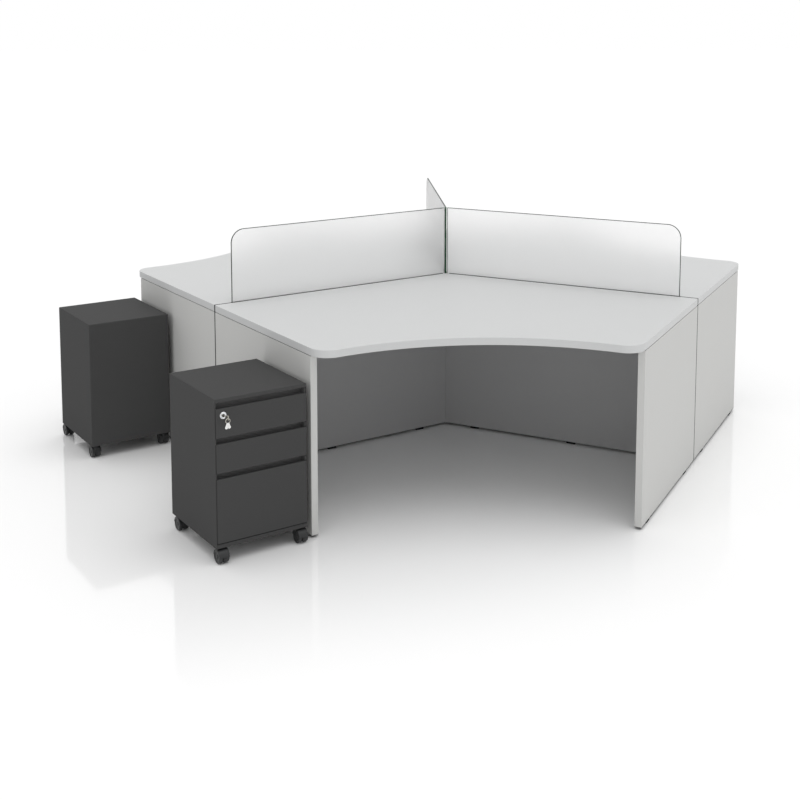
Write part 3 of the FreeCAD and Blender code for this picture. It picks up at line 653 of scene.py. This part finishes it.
def worktop_outline():
    """The worktop from above, as its sitter faces it: two straight seams, two straight ends, a
    quarter circle at each front corner and one hollow arc between them that leaves the corners in
    line with the wings."""
    left, off_left = LEFT_WING, LEFT_WING + 90
    right, off_right = RIGHT_WING, RIGHT_WING - 90
    bend = WING_LENGTH - WORKTOP_CORNER
    hollow = bend * math.tan(WING_HALF_ANGLE) - WING_DEPTH
    inner = WING_DEPTH - WORKTOP_CORNER
    small = WORKTOP_SMALL_CORNER
    end, seam = WING_LENGTH - small, HALF_SEAM + small

    def spot(wing, off_seam, along, depth):
        return along * unit(wing) + depth * unit(off_seam)

    tip = (0.0, -seam / math.sin(WING_HALF_ANGLE))
    middle = (0.0, -bend / math.cos(WING_HALF_ANGLE))
    return outline(
        arc(tip, small, off_right - 180, off_left - 180, 4),
        arc(spot(left, off_left, end, seam), small, off_left - 180, left, 4),
        arc(spot(left, off_left, bend, inner), WORKTOP_CORNER, left, off_left, 28),
        arc(middle, hollow, off_left - 180, off_right - 180, 120, hollow=True),
        arc(spot(right, off_right, bend, inner), WORKTOP_CORNER, off_right, right, 28),
        arc(spot(right, off_right, end, seam), small, right, off_right + 180, 4),
    )


def build_strip(name, side, off_seam, along, depth, level, height):
    """A black rubber strip on the edge of a board, between two places along a wing and two in front
    of the seam. Its black is painted shade for the joint or gap it lies in."""
    low, high = along if side == "left" else (-along[1], -along[0])
    shape = rectangle(low, depth[0], high, depth[1], STRIP_CORNER, 3)
    stand = Stand([*CLUSTER_AXIS, level], [*unit(off_seam - 90), 0], [*unit(off_seam), 0])
    make_slab(name, shape, height, THIN_ARRIS, stand, *RUBBER_AND_SHADE_TRIM)


def drawn_to(margin, *spans):
    """Spans of places shortened by a margin at both ends."""
    return [(low + margin, high - margin) for low, high in spans]


def build_desk(desk, turn):
    """One desk: its worktop, two end panels and two modesty panels with the strips at their
    edges, whose black is painted shade in the joints."""
    make_banded_board(
        f"{desk}_worktop",
        worktop_outline(),
        WORKTOP_THICKNESS,
        WORKTOP_BAND,
        Stand([*CLUSTER_AXIS, PANEL_TOP], [*unit(turn), 0], [*unit(turn + 90), 0]),
        WORKTOP_EDGING,
        "worktop_laminate",
        f"{desk}_desk_worktop",
    )
    near, far = WING_LENGTH - END_PANEL_THICKNESS, WING_LENGTH
    face = HALF_SEAM + MODESTY_THICKNESS
    mitre = face / math.tan(WING_HALF_ANGLE)
    foot = PANEL_FOOT + FOOT_BAND
    end_spans = (near, far), (HALF_SEAM, END_PANEL_DEPTH)
    modesty_spans = (mitre, near), (HALF_SEAM, face)
    packing = *drawn_to(PACKING_MARGIN, *end_spans), PANEL_TOP - PACKING, PACKING
    end_foot = *drawn_to(FOOT_BAND_MARGIN, *end_spans), PANEL_FOOT, FOOT_BAND
    modesty_foot = *drawn_to(FOOT_BAND_MARGIN, *modesty_spans), PANEL_FOOT, FOOT_BAND
    for side, wing, quarter, end_start, modesty_start in (
        ("left", LEFT_WING + turn, 90, near, face),
        ("right", RIGHT_WING + turn, -90, far, HALF_SEAM),
    ):
        off_seam = wing + quarter
        along, depth = unit(wing), unit(off_seam)
        name = f"{desk}_{side}"
        make_banded_board(
            f"{name}_end",
            rectangle(HALF_SEAM, foot, END_PANEL_DEPTH, PANEL_TOP - PACKING, END_PANEL_CORNER, 4),
            END_PANEL_THICKNESS,
            END_PANEL_BAND,
            Stand([*(CLUSTER_AXIS + end_start * along), 0], [*depth, 0], UP),
            END_PANEL_EDGING,
            "end_panel_laminate",
            f"{desk}_desk_{side}_end_panel",
        )
        # Painted shade: black strips in the joint under the worktop and along the feet of the
        # panels.
        build_strip(f"{name}_end_packing", side, off_seam, *packing)
        build_strip(f"{name}_end_foot", side, off_seam, *end_foot)
        build_strip(f"{name}_modesty_foot", side, off_seam, *modesty_foot)
        make_banded_board(
            f"{name}_modesty",
            rectangle(mitre, foot, near, PANEL_TOP, MODESTY_CORNER, 3),
            MODESTY_THICKNESS,
            MODESTY_BAND,
            Stand([*(CLUSTER_AXIS + modesty_start * depth), 0], [*along, 0], UP),
            MODESTY_EDGING,
            "modesty_laminate",
            f"{desk}_desk_{side}_modesty_panel",
        )


def build_screen(name, wing):
    """One pane along a wing, its outer top corner rounded and its edge ground round."""
    small = SCREEN_SMALL_CORNER
    corners = (small, SCREEN_CORNER, small, small)
    across = unit(wing - 90)
    make_slab(
        f"{name}_pane",
        rectangle(SCREEN_START, SCREEN_FOOT, SCREEN_REACH, SCREEN_HEAD, corners, 20),
        SCREEN_THICKNESS,
        PANE_ARRIS,
        Stand([*(CLUSTER_AXIS - SCREEN_THICKNESS / 2 * across), 0], [*unit(wing), 0], UP),
        "desk_cluster",
        "frosted_glass",
        [FINISHES["frosted_glass"], GLASS_EDGE],
        [name],
    )


def build_seal(name, wing, side):
    """The rubber lip that closes the seam between a pane and a worktop: a bead on a stem, drawn
    along the wing. Its black is painted shade along the foot of the pane."""
    along, depth = unit(wing), unit(wing + side * 90)
    stem_foot, stem_radius = (0.0, -0.006), 0.0004
    bead_middle, bead_radius = (0.0002, 0.0004), 0.0012
    lip = outline(
        arc(stem_foot, stem_radius, 180, 360, 4),
        arc(bead_middle, bead_radius, -60, 240, 14),
    )
    start = CLUSTER_AXIS + SEAL_START * along + (SCREEN_THICKNESS / 2 + SEAL_GAP) * depth
    if side > 0:
        lip = [part[::-1] * [-1, 1] for part in lip]
    stand = Stand([*start, WORKTOP_TOP], np.cross(UP, [*along, 0]), UP)
    make_slab(name, lip, SCREEN_REACH - SEAL_START, THIN_ARRIS, stand, *RUBBER_AND_SHADE_TRIM)


def build_seam_strip(name, wing):
    """The black strip pressed flush into a seam: from the end of the pane out along the worktops,
    round the corner and down between the end panels. Its black is painted shade in the seam."""
    depth, tip, bend, pane_gap, side_gap = 0.006, 0.001, 0.002, 0.0005, 0.0002
    start = SCREEN_REACH + pane_gap
    inner, under = WING_LENGTH - depth, WORKTOP_TOP - depth
    half = HALF_SEAM - side_gap
    strip = outline(
        arc((WING_LENGTH - tip, PANEL_FOOT + tip), tip, -90, 0, 3),
        arc((WING_LENGTH - bend, WORKTOP_TOP - bend), bend, 0, 90, 5),
        arc((start + tip, WORKTOP_TOP - tip), tip, 90, 180, 3),
        arc((start + tip, under + tip), tip, 180, 270, 3),
        arc((inner - tip, under - tip), tip, 90, 0, 3, hollow=True),
        arc((inner + tip, PANEL_FOOT + tip), tip, 180, 270, 3),
    )
    stand = Stand([*(CLUSTER_AXIS - half * unit(wing - 90)), 0], [*unit(wing), 0], UP)
    make_slab(name, strip, 2 * half, SEAM_ARRIS, stand, *RUBBER_AND_SHADE_TRIM)


def build_glides():
    """The feet under all panels: long pads with rounded corners and arrises, as wide as the panel
    but for an inset."""
    modesty = HALF_SEAM + MODESTY_THICKNESS / 2
    modesty_width = MODESTY_THICKNESS - 2 * GLIDE_INSET
    end = WING_LENGTH - END_PANEL_THICKNESS / 2
    end_width = END_PANEL_THICKNESS - 2 * GLIDE_INSET
    pads = [(along, modesty, GLIDE_LENGTH, modesty_width) for along in MODESTY_GLIDES]
    pads += [(end, depth, end_width, GLIDE_LENGTH) for depth in END_GLIDES]
    feet = []
    sides = [(LEFT_WING, 90), (RIGHT_WING, -90), (RIGHT_WING, 90)]
    sides += [(REAR_WING, -90), (REAR_WING, 90), (LEFT_WING, -90)]
    for wing, quarter in sides:
        for along, depth, length, width in pads:
            shape = rectangle(-length / 2, -width / 2, length / 2, width / 2, GLIDE_CORNER, 5)
            places, ways = edge_rings(shape, PANEL_FOOT, *GLIDE_ARRIS)
            spot = CLUSTER_AXIS + along * unit(wing) + depth * unit(wing + quarter)
            stand = Stand([*spot, 0], [*unit(wing), 0], [*unit(wing + 90), 0])
            feet.append((stand.place(places), slab_faces(*places.shape[:2])))
    make_piece("glide_pads", *joined(feet), *RUBBER_AND_SHADE_TRIM, replaced=["floor_glides"])


for desk, turn in (("front", 0), ("right", 120), ("left", 240)):
    build_desk(desk, turn)
build_glides()
for screen, wing in (
    ("left_screen", LEFT_WING),
    ("right_screen", RIGHT_WING),
    ("rear_screen", REAR_WING),
):
    build_screen(screen, wing)
    # Painted shade: black strips in the seams and along the feet of the panes.
    build_seam_strip(f"{screen}_seam_strip", wing)
    build_seal(f"{screen}_first_seal", wing, -1)
    build_seal(f"{screen}_second_seal", wing, 1)


# Pedestals. Places on a pedestal are counted from the front left corner of its footprint: across,
# back and up.


def folded(radius, steps):
    """The sines and cosines of the turns round a fold, times its radius and by themselves."""
    a = np.linspace(0, math.pi / 2, steps + 1)
    return radius * np.sin(a), radius * np.cos(a), np.sin(a), np.cos(a)


def carcass_skin():
    """The sheet of the carcass as rows, each an upright hoop (left side, top, right side) drawn in
    by a margin. The rows run from the hem behind the front edge, round the lip to the front, round
    the front fold along the sides, and round the back fold; each fold is a quarter circle in margin
    and depth."""
    lip_sin, lip_cos, lip_s, lip_c = folded(LIP_FOLD, 4)
    front_sin, front_cos, _, _ = folded(FRONT_FOLD, 8)
    fold_sin, fold_cos, fold_s, fold_c = folded(SKIN_FOLD, 8)
    lip = lip_cos - LIP_FOLD
    front = FRONT_FOLD - front_sin
    back = SKIN_FOLD - fold_cos
    side = np.concatenate([[EDGE], EDGE + lip, front, back])
    head = np.concatenate([[TOP_RAIL], TOP_RAIL + lip, front, back])
    depth = np.concatenate(
        [
            [RETURN_DEPTH],
            LIP_FOLD - lip_sin,
            FRONT_FOLD - front_cos,
            PEDESTAL_DEPTH - SKIN_FOLD + fold_sin,
        ]
    )
    out = np.concatenate([[-1.0], -lip_c, fold_s, fold_c])
    rear = np.concatenate([[0.0], -lip_s, -fold_c, fold_s])
    corner = np.concatenate([np.zeros(len(lip) + 1), fold_sin, fold_cos])
    corner = np.maximum(corner, LEAST_CORNER)[:, None]
    right_ray = arc((0, 0), 1, 0, 90, 8)[1]
    left_ray = arc((0, 0), 1, 90, 180, 8)[1]
    ray = np.concatenate([[[1.0, 0.0]], right_ray, left_ray, [[-1.0, 0.0]]])
    on_right = np.arange(len(ray)) <= len(right_ray)
    inset = side[:, None] + corner
    x = np.where(on_right, PEDESTAL_WIDTH - inset, inset) + corner * ray[:, 0]
    z = PEDESTAL_TOP - head[:, None] - corner + corner * ray[:, 1]
    z[:, [0, -1]] = PEDESTAL_FOOT
    whole = np.ones((1, len(ray)))
    out, rear = out[:, None], rear[:, None]
    places = np.dstack([x, depth[:, None] * whole, z])
    ways = np.dstack([out * ray[:, 0], rear * whole, out * ray[:, 1]])
    return places, ways


def tray_skin(foot, head):
    """The outside of a drawer box as rows, each a rounded rectangle. The first is the rim, and the
    rest turn a quarter circle under to the floor."""
    points, outward = rectangle(BOX_LEFT, BOX_FRONT, BOX_RIGHT, BOX_BACK, BOX_CORNER, 5)
    under_sin, under_cos, s, c = folded(BOX_FOLD, 5)
    inset = np.concatenate([[0.0], BOX_FOLD - under_cos])[:, None, None]
    level = np.concatenate([[head], foot + BOX_FOLD - under_sin])[:, None]
    out = np.concatenate([[1.0], c])[:, None, None]
    down = np.concatenate([[0.0], -s])[:, None]
    whole = np.ones((1, len(points)))
    places = np.dstack([points - inset * outward, level * whole])
    ways = np.dstack([out * outward, down * whole])
    return places, ways


def sheet_shell(places, ways, thickness, closed, capped):
    """A folded sheet: its outer skin, the same skin moved inward by the thickness, the faces that
    cap the last rows, and the rims between the skins. Gives places, outward ways, faces and how
    many of them are rims."""
    rows, columns = places.shape[:2]
    count = rows * columns
    number = np.arange(count).reshape(rows, columns)
    skin = grid_faces(rows, columns, closed_columns=closed)
    faces = skin + [[corner + count for corner in reversed(face)] for face in skin]
    if capped:
        faces += [number[-1, ::-1].tolist(), (number[-1] + count).tolist()]
    if closed:
        rim = number[0]
    else:
        far = number[-1, :1] if capped else number[-1, -2::-1]
        rim = np.concatenate([number[0], number[1:, -1], far, number[-2:0:-1, 0]])
    after = np.roll(rim, -1)
    rims = np.stack([rim, after, after + count, rim + count], axis=1).tolist()
    inner = places - thickness * ways
    return (
        np.concatenate([places.reshape(-1, 3), inner.reshape(-1, 3)]),
        np.concatenate([ways.reshape(-1, 3), -ways.reshape(-1, 3)]),
        faces + rims,
        len(rims),
    )


def make_sheet(name, shell, stand, body, slot, replaced=()):
    """A piece of folded sheet, flat on its rims."""
    places, ways, faces, rims = shell
    places, ways = stand.place(places), stand.face(ways)
    make_piece(name, places, faces, body, slot, ways=ways, replaced=replaced, flat=rims)


class Pedestal:
    """One pedestal: its name and the directions across and back at the corner of its footprint."""

    def __init__(self, name, turn, corner):
        self.name = name
        self.across = np.array([*unit(turn), 0.0])
        self.back = np.array([*unit(turn + 90), 0.0])
        self.corner = np.array([*corner, 0.0])

    def point(self, x, y, z):
        return self.corner + x * self.across + y * self.back + z * UP

    def plan(self, x=0.0, y=0.0, z=0.0):
        """A stand for shapes given across, back and up."""
        return Stand(self.point(x, y, z), self.across, self.back)

    def facing(self, x=0.0, y=0.0, z=0.0):
        """A stand for outlines seen from the front: across, up and towards the viewer."""
        return Stand(self.point(x, y, z), self.across, UP)

    def sideways(self, x=0.0, y=0.0, z=0.0):
        """A stand for outlines seen from the left: back, up and across."""
        return Stand(self.point(x, y, z), self.back, UP)


def build_carcass(pedestal):
    """The welded carcass of folded sheet."""
    make_sheet(
        f"{pedestal.name}_shell",
        sheet_shell(*carcass_skin(), SHEET, closed=False, capped=True),
        pedestal.plan(),
        f"{pedestal.name}_cabinet",
        "graphite_steel",
        [f"{pedestal.name}_carcass"],
    )


def build_base(pedestal):
    """The base: one sheet folded as a lip, a front rail and a floor, drawn across between the
    sides, and the sockets of the castors on the floor."""
    body = f"{pedestal.name}_cabinet"
    tip, bend = SHEET / 2, BASE_BEND
    upper, lower = (bend, BASE_RAIL_TOP - bend), (bend, PEDESTAL_FOOT + bend)
    sheet = outline(
        arc((RETURN_DEPTH - tip, BASE_RAIL_TOP - tip), tip, -90, 90, 6),
        arc(upper, bend, 90, 180, 6),
        arc(lower, bend, 180, 270, 6),
        arc((PEDESTAL_DEPTH - SHEET - tip, PEDESTAL_FOOT + tip), tip, -90, 90, 6),
        arc(lower, bend - SHEET, 270, 180, 6, hollow=True),
        arc(upper, bend - SHEET, 180, 90, 6, hollow=True),
    )
    name, stand = f"{pedestal.name}_base", pedestal.sideways(x=EDGE)
    width, pan = PEDESTAL_WIDTH - 2 * EDGE, [f"{name}_pan"]
    make_slab(name, sheet, width, THIN_ARRIS, stand, body, "graphite_steel", replaced=pan)
    places, faces = lathe(SOCKET_PROFILE, 40, closed=True)
    stands = [pedestal.plan(x, y, PEDESTAL_FOOT) for _, x, y in CASTORS]
    sockets = joined([(stand.place(places), faces) for stand in stands])
    make_piece(f"{pedestal.name}_sockets", *sockets, body, "graphite_steel")


def build_drawer(pedestal, name, foot, head):
    """A drawer: its front, the pull trough behind the front's head with a cheek at each end, its
    box and the slides on the box. The trough and its cheeks are in a paler copy of the graphite
    paint: painted light against the shade deep in the recess."""
    body, steel = f"{pedestal.name}_{name}", "graphite_steel"
    front = rectangle(FRONT_LEFT, foot, FRONT_RIGHT, head, FRONT_CORNER, 5)
    depth, stand = FRONT_BACK - FRONT_FACE, pedestal.facing(y=FRONT_BACK)
    make_slab(f"{body}_front", front, depth, FRONT_ARRIS, stand, body, steel, replaced=[body])
    level, top = head - TROUGH_DEPTH, head + RISER
    bend, tip = TROUGH_BEND, SHEET / 2
    heel = (BOX_FRONT - bend, level + bend)
    pull = outline(
        arc(heel, bend + SHEET, -90, 0, 6),
        arc((BOX_FRONT + tip, top), tip, 0, 180, 6),
        arc(heel, bend, 0, -90, 6, hollow=True),
        arc((FRONT_BACK - TROUGH_TUCK, level - tip), tip, 90, 270, 6),
    )
    near, far = FRONT_FACE + CHEEK_INSET, BOX_FRONT + SHEET
    cheek = rectangle(near, level - SHEET, far, top, CHEEK_CORNERS, 4)
    # Painted light: the trough and its cheeks take the paler copy of the graphite, against the
    # shade of the recess.
    for word, shape, start, width in (
        ("pull", pull, FRONT_LEFT, FRONT_RIGHT - FRONT_LEFT),
        ("left_cheek", cheek, FRONT_LEFT + CHEEK_GAP, SHEET),
        ("right_cheek", cheek, FRONT_RIGHT - SHEET - CHEEK_GAP, SHEET),
    ):
        stand = pedestal.sideways(x=start)
        make_slab(f"{body}_{word}", shape, width, THIN_ARRIS, stand, body, steel, [PAINTED_LIGHT_PULL_PAINT])
    skin = tray_skin(foot + BOX_RISE, level - BOX_HEAD_GAP)
    box = sheet_shell(*skin, SHEET, closed=True, capped=True)
    make_sheet(f"{body}_box", box, pedestal.plan(), body, steel)
    low, high, width = foot + SLIDE_FOOT, foot + SLIDE_HEAD, BOX_LEFT - POST - SLIDE_GAP
    slide = rectangle(BOX_FRONT, low, SLIDE_BACK, high, SLIDE_CORNER, 4)
    for side, start in (("left", POST + SLIDE_GAP), ("right", BOX_RIGHT)):
        stand = pedestal.sideways(x=start)
        make_slab(f"{body}_{side}_slide", slide, width, SLIDE_ARRIS, stand, body, "zinc_steel")


def build_lock(pedestal):
    """The lock's rosette and barrel."""
    x, z = LOCK_PLACE
    places, faces = lathe(ROSETTE_PROFILE, 64, closed=True)
    places = pedestal.facing(x, FRONT_FACE, z).place(places)
    name, body = f"{pedestal.name}_rosette", f"{pedestal.name}_top_drawer"
    barrel = [f"{pedestal.name}_lock_barrel"]
    make_piece(name, places, faces, body, "chrome", replaced=barrel)


def build_key(pedestal):
    """The key: a round bow pierced near its outer rim, a neck and a blade."""
    x, z = LOCK_PLACE
    name, body = f"{pedestal.name}_key", f"{pedestal.name}_lock"
    bow = KEY_RING_FRONT + KEY_HOLE_OFFSET
    make_pierced_slab(
        f"{name}_bow",
        arc((0.0, 0.0), KEY_BOW_RADIUS, 0, 355, 71),
        ((-KEY_HOLE_OFFSET, 0.0), KEY_HOLE_RADIUS),
        KEY_BOW_THICKNESS,
        BOW_ARRIS,
        pedestal.sideways(x - KEY_BOW_THICKNESS / 2, bow, z),
        body,
        "nickel_steel",
        [name],
    )
    neck = rectangle(*KEY_NECK, KEY_NECK_CORNER, 5)
    blade = rectangle(*KEY_BLADE, KEY_BLADE_CORNERS, 5)
    for word, shape, thickness, arris in (
        ("neck", neck, KEY_NECK_THICKNESS, NECK_ARRIS),
        ("blade", blade, KEY_BLADE_THICKNESS, BLADE_ARRIS),
    ):
        stand = pedestal.sideways(x - thickness / 2, bow, z)
        make_slab(f"{name}_{word}", shape, thickness, arris, stand, body, "nickel_steel")


def build_key_tags(pedestal):
    """The wire ring through the key's bow, the sleeve on its foot, and the two tags that fan out
    from the sleeve."""
    x, z = LOCK_PLACE
    body = f"{pedestal.name}_key_tag"
    middle = z - KEY_RING_DROP - KEY_RING_RADIUS
    foot = middle - KEY_RING_RADIUS
    turn = np.linspace(0, 2 * math.pi, 20, endpoint=False)
    wire = KEY_RING_WIRE * np.stack([np.cos(turn), np.sin(turn)], axis=1)
    places, faces = lathe(wire + [KEY_RING_RADIUS, 0.0], 72, closed=True)
    places = pedestal.facing(x, KEY_RING_FRONT, middle).place(places)
    make_piece(f"{body}_ring", places, faces, body, "nickel_steel", replaced=[body])
    places, faces = lathe(SLEEVE_PROFILE, 32)
    places = pedestal.sideways(x, KEY_RING_FRONT, foot).place(places)
    make_piece(f"{body}_sleeve", places, faces, body, "white_plastic")
    leaf = rectangle(*TAG, TAG_CORNERS, 8)
    for word, lean, back in (("left", -TAG_TURN, 0.0), ("right", TAG_TURN, TAG_STEP)):
        cos, sin = unit(lean)
        across, up = cos * pedestal.across + sin * UP, cos * UP - sin * pedestal.across
        stand = Stand(pedestal.point(x, KEY_RING_FRONT + back, foot), across, up)
        name = f"{body}_{word}_leaf"
        make_slab(name, leaf, TAG_THICKNESS, TAG_ARRIS, stand, body, "white_plastic")


def wheel_profile():
    """Half of a castor wheel, from the middle of its outer face to the middle of its inner one: a
    raised hub, a dished web, a rim and a tread with rounded shoulders."""
    turn_sin, turn_cos, _, _ = folded(WHEEL_SHOULDER, 6)
    reach = WHEEL_RADIUS - WHEEL_SHOULDER + turn_sin
    outer = np.stack([reach, WHEEL_SHOULDER - turn_cos], axis=1)
    inner = outer[::-1] * [1, -1] + [0, WHEEL_WIDTH]
    return np.concatenate([WHEEL_FACE_PROFILE, outer, inner, [(AXIS_GAP, WHEEL_WIDTH)]])


def hood_skin():
    """The outside of a castor's hood as rows from one side to the other, each an arc over the
    wheels. The rows turn a quarter circle from the sides up to the crown."""
    half = CASTOR_WIDTH / 2
    turn_sin, turn_cos, s, c = folded(HOOD_SHOULDER, 6)
    inset, rise = HOOD_SHOULDER - turn_cos, HOOD_RADIUS - HOOD_SHOULDER + turn_sin
    across = np.concatenate([inset - half, half - inset[::-1]])[:, None]
    reach = np.concatenate([rise, rise[::-1]])[:, None]
    lean = np.concatenate([-c, c[::-1]])[:, None]
    spread = np.concatenate([s, s[::-1]])[:, None]
    turn = np.radians(np.linspace(*HOOD_ENDS, 49))
    whole = np.ones((1, len(turn)))
    places = np.dstack([across * whole, reach * np.cos(turn), reach * np.sin(turn)])
    ways = np.dstack([lean * whole, spread * np.cos(turn), spread * np.sin(turn)])
    return places, ways


def build_castor(pedestal, word, x, y):
    """A castor: a pair of wheels, the hood over them, the fin between them and the neck under the
    pedestal."""
    wheels, body = f"{pedestal.name}_{word}_wheels", f"{pedestal.name}_{word}_castor"
    axle = y - CASTOR_TRAIL
    half = CASTOR_WIDTH / 2
    places, faces = lathe(wheel_profile(), 72)
    left = pedestal.sideways(x - half, axle, WHEEL_RADIUS).place(places)
    right = pedestal.sideways(x + half, axle, WHEEL_RADIUS).place(places * [1, 1, -1])
    pair = joined([(left, faces), (right, [face[::-1] for face in faces])])
    name = f"{pedestal.name}_{word}_wheel_pair"
    make_piece(name, *pair, wheels, "castor_nylon", replaced=[wheels])
    hood = sheet_shell(*hood_skin(), HOOD_WALL, closed=False, capped=False)
    stand = pedestal.plan(x, axle, WHEEL_RADIUS)
    make_sheet(f"{body}_hood", hood, stand, body, "black_plastic", [body])
    fin = arc((0, 0), HOOD_RADIUS - FIN_GAP, *FIN_ENDS, 60)
    stand = pedestal.sideways(x - FIN_WIDTH / 2, axle, WHEEL_RADIUS)
    make_slab(f"{body}_fin", fin, FIN_WIDTH, FIN_ARRIS, stand, body, "black_plastic")
    places, faces = lathe(CASTOR_NECK_PROFILE, 48)
    places = pedestal.plan(x, y).place(places)
    make_piece(f"{body}_neck", places, faces, body, "black_plastic")


def build_pedestal(pedestal):
    """All pieces of one pedestal."""
    build_carcass(pedestal)
    build_base(pedestal)
    for name, (foot, head) in DRAWERS.items():
        build_drawer(pedestal, name, foot, head)
    build_lock(pedestal)
    build_key(pedestal)
    build_key_tags(pedestal)
    for word, x, y in CASTORS:
        build_castor(pedestal, word, x, y)


for name, (turn, along, depth) in PEDESTALS.items():
    corner = CLUSTER_AXIS + along * unit(LEFT_WING) + depth * unit(LEFT_WING + 90)
    build_pedestal(Pedestal(name, turn, corner))


# Camera, floor and light

TOWARDS_VIEWER = (0.35, -0.94, 0.0)
WHITE = (1.0, 1.0, 1.0, 1.0)


def aim_camera():
    """The photograph's eye: a standing viewer in front, a little to the left, looking slightly
    down."""
    lens = bpy.data.cameras.new("camera")
    lens.lens = 56.615
    lens.sensor_width = 36.0
    lens.shift_y = -0.3
    lens.clip_end = 100.0
    camera = bpy.data.objects.new("camera", lens)
    camera.location = (-0.3899, -5.6765, 1.9601)
    camera.rotation_euler = (math.radians(90 - 6.671), 0.0, -0.05876)
    bpy.context.scene.collection.objects.link(camera)
    bpy.context.scene.camera = camera


def lay_floor():
    """A plain white floor with a polished coat that mirrors the feet of the desks softly. The
    polish wears off towards the viewer, where the mirrored desks fade into white."""
    material, tree, place = start_material("polished_white_floor")
    haze = add(tree, NOISE, {"Vector": place, "Scale": 0.6, "Detail": 2.0})
    rough = add(tree, RANGE, {"Value": haze.outputs["Fac"], "To Min": 0.05, "To Max": 0.09})
    forward = add(tree, VECTOR, {0: place, 1: TOWARDS_VIEWER}, operation="DOT_PRODUCT")
    worn = add(
        tree,
        RANGE,
        {"Value": forward.outputs["Value"], "From Min": 1.15, "From Max": 2.0},
        interpolation_type="SMOOTHSTEP",
    )
    polished = add(tree, SURFACE, {"Base Color": WHITE, "Roughness": rough.outputs[0], "IOR": 1.6})
    matt = add(tree, "ShaderNodeBsdfDiffuse", {"Color": WHITE})
    coats = {0: worn.outputs[0], 1: polished.outputs[0], 2: matt.outputs[0]}
    show(tree, add(tree, "ShaderNodeMixShader", coats).outputs[0])
    mesh = bpy.data.meshes.new("floor")
    reach = 60.0
    corners = [(-reach, -reach, 0), (reach, -reach, 0), (reach, reach, 0), (-reach, reach, 0)]
    mesh.from_pydata(corners, [], [(0, 1, 2, 3)])
    mesh.materials.append(material)
    floor = bpy.data.objects.new("floor", mesh)
    bpy.context.scene.collection.objects.link(floor)


def light_scene():
    """A white room whose walls show as white and light the desks less strongly, and one wide soft
    lamp overhead."""
    scene = bpy.context.scene
    world = bpy.data.worlds.new("white_room")
    world.use_nodes = True
    scene.world = world
    tree = world.node_tree
    tree.nodes.clear()
    ray = add(tree, "ShaderNodeLightPath").outputs
    seen = ray["Is Camera Ray"]
    for kind in ("Is Glossy Ray", "Is Transmission Ray"):
        seen = add(tree, "ShaderNodeMath", {0: seen, 1: ray[kind]}, operation="MAXIMUM").outputs[0]
    strength = add(tree, RANGE, {"Value": seen, "To Min": 0.755, "To Max": 1.0})
    sky = add(tree, "ShaderNodeBackground", {"Color": WHITE, "Strength": strength.outputs[0]})
    add(tree, "ShaderNodeOutputWorld", {"Surface": sky.outputs[0]})
    lamp = bpy.data.lights.new("soft_overhead", "SUN")
    lamp.energy = 0.93
    lamp.angle = math.radians(60)
    overhead = bpy.data.objects.new("soft_overhead", lamp)
    overhead.rotation_euler = (math.radians(5), math.radians(7), 0.0)
    scene.collection.objects.link(overhead)
    scene.view_settings.view_transform = "Standard"


aim_camera()
lay_floor()
light_scene()
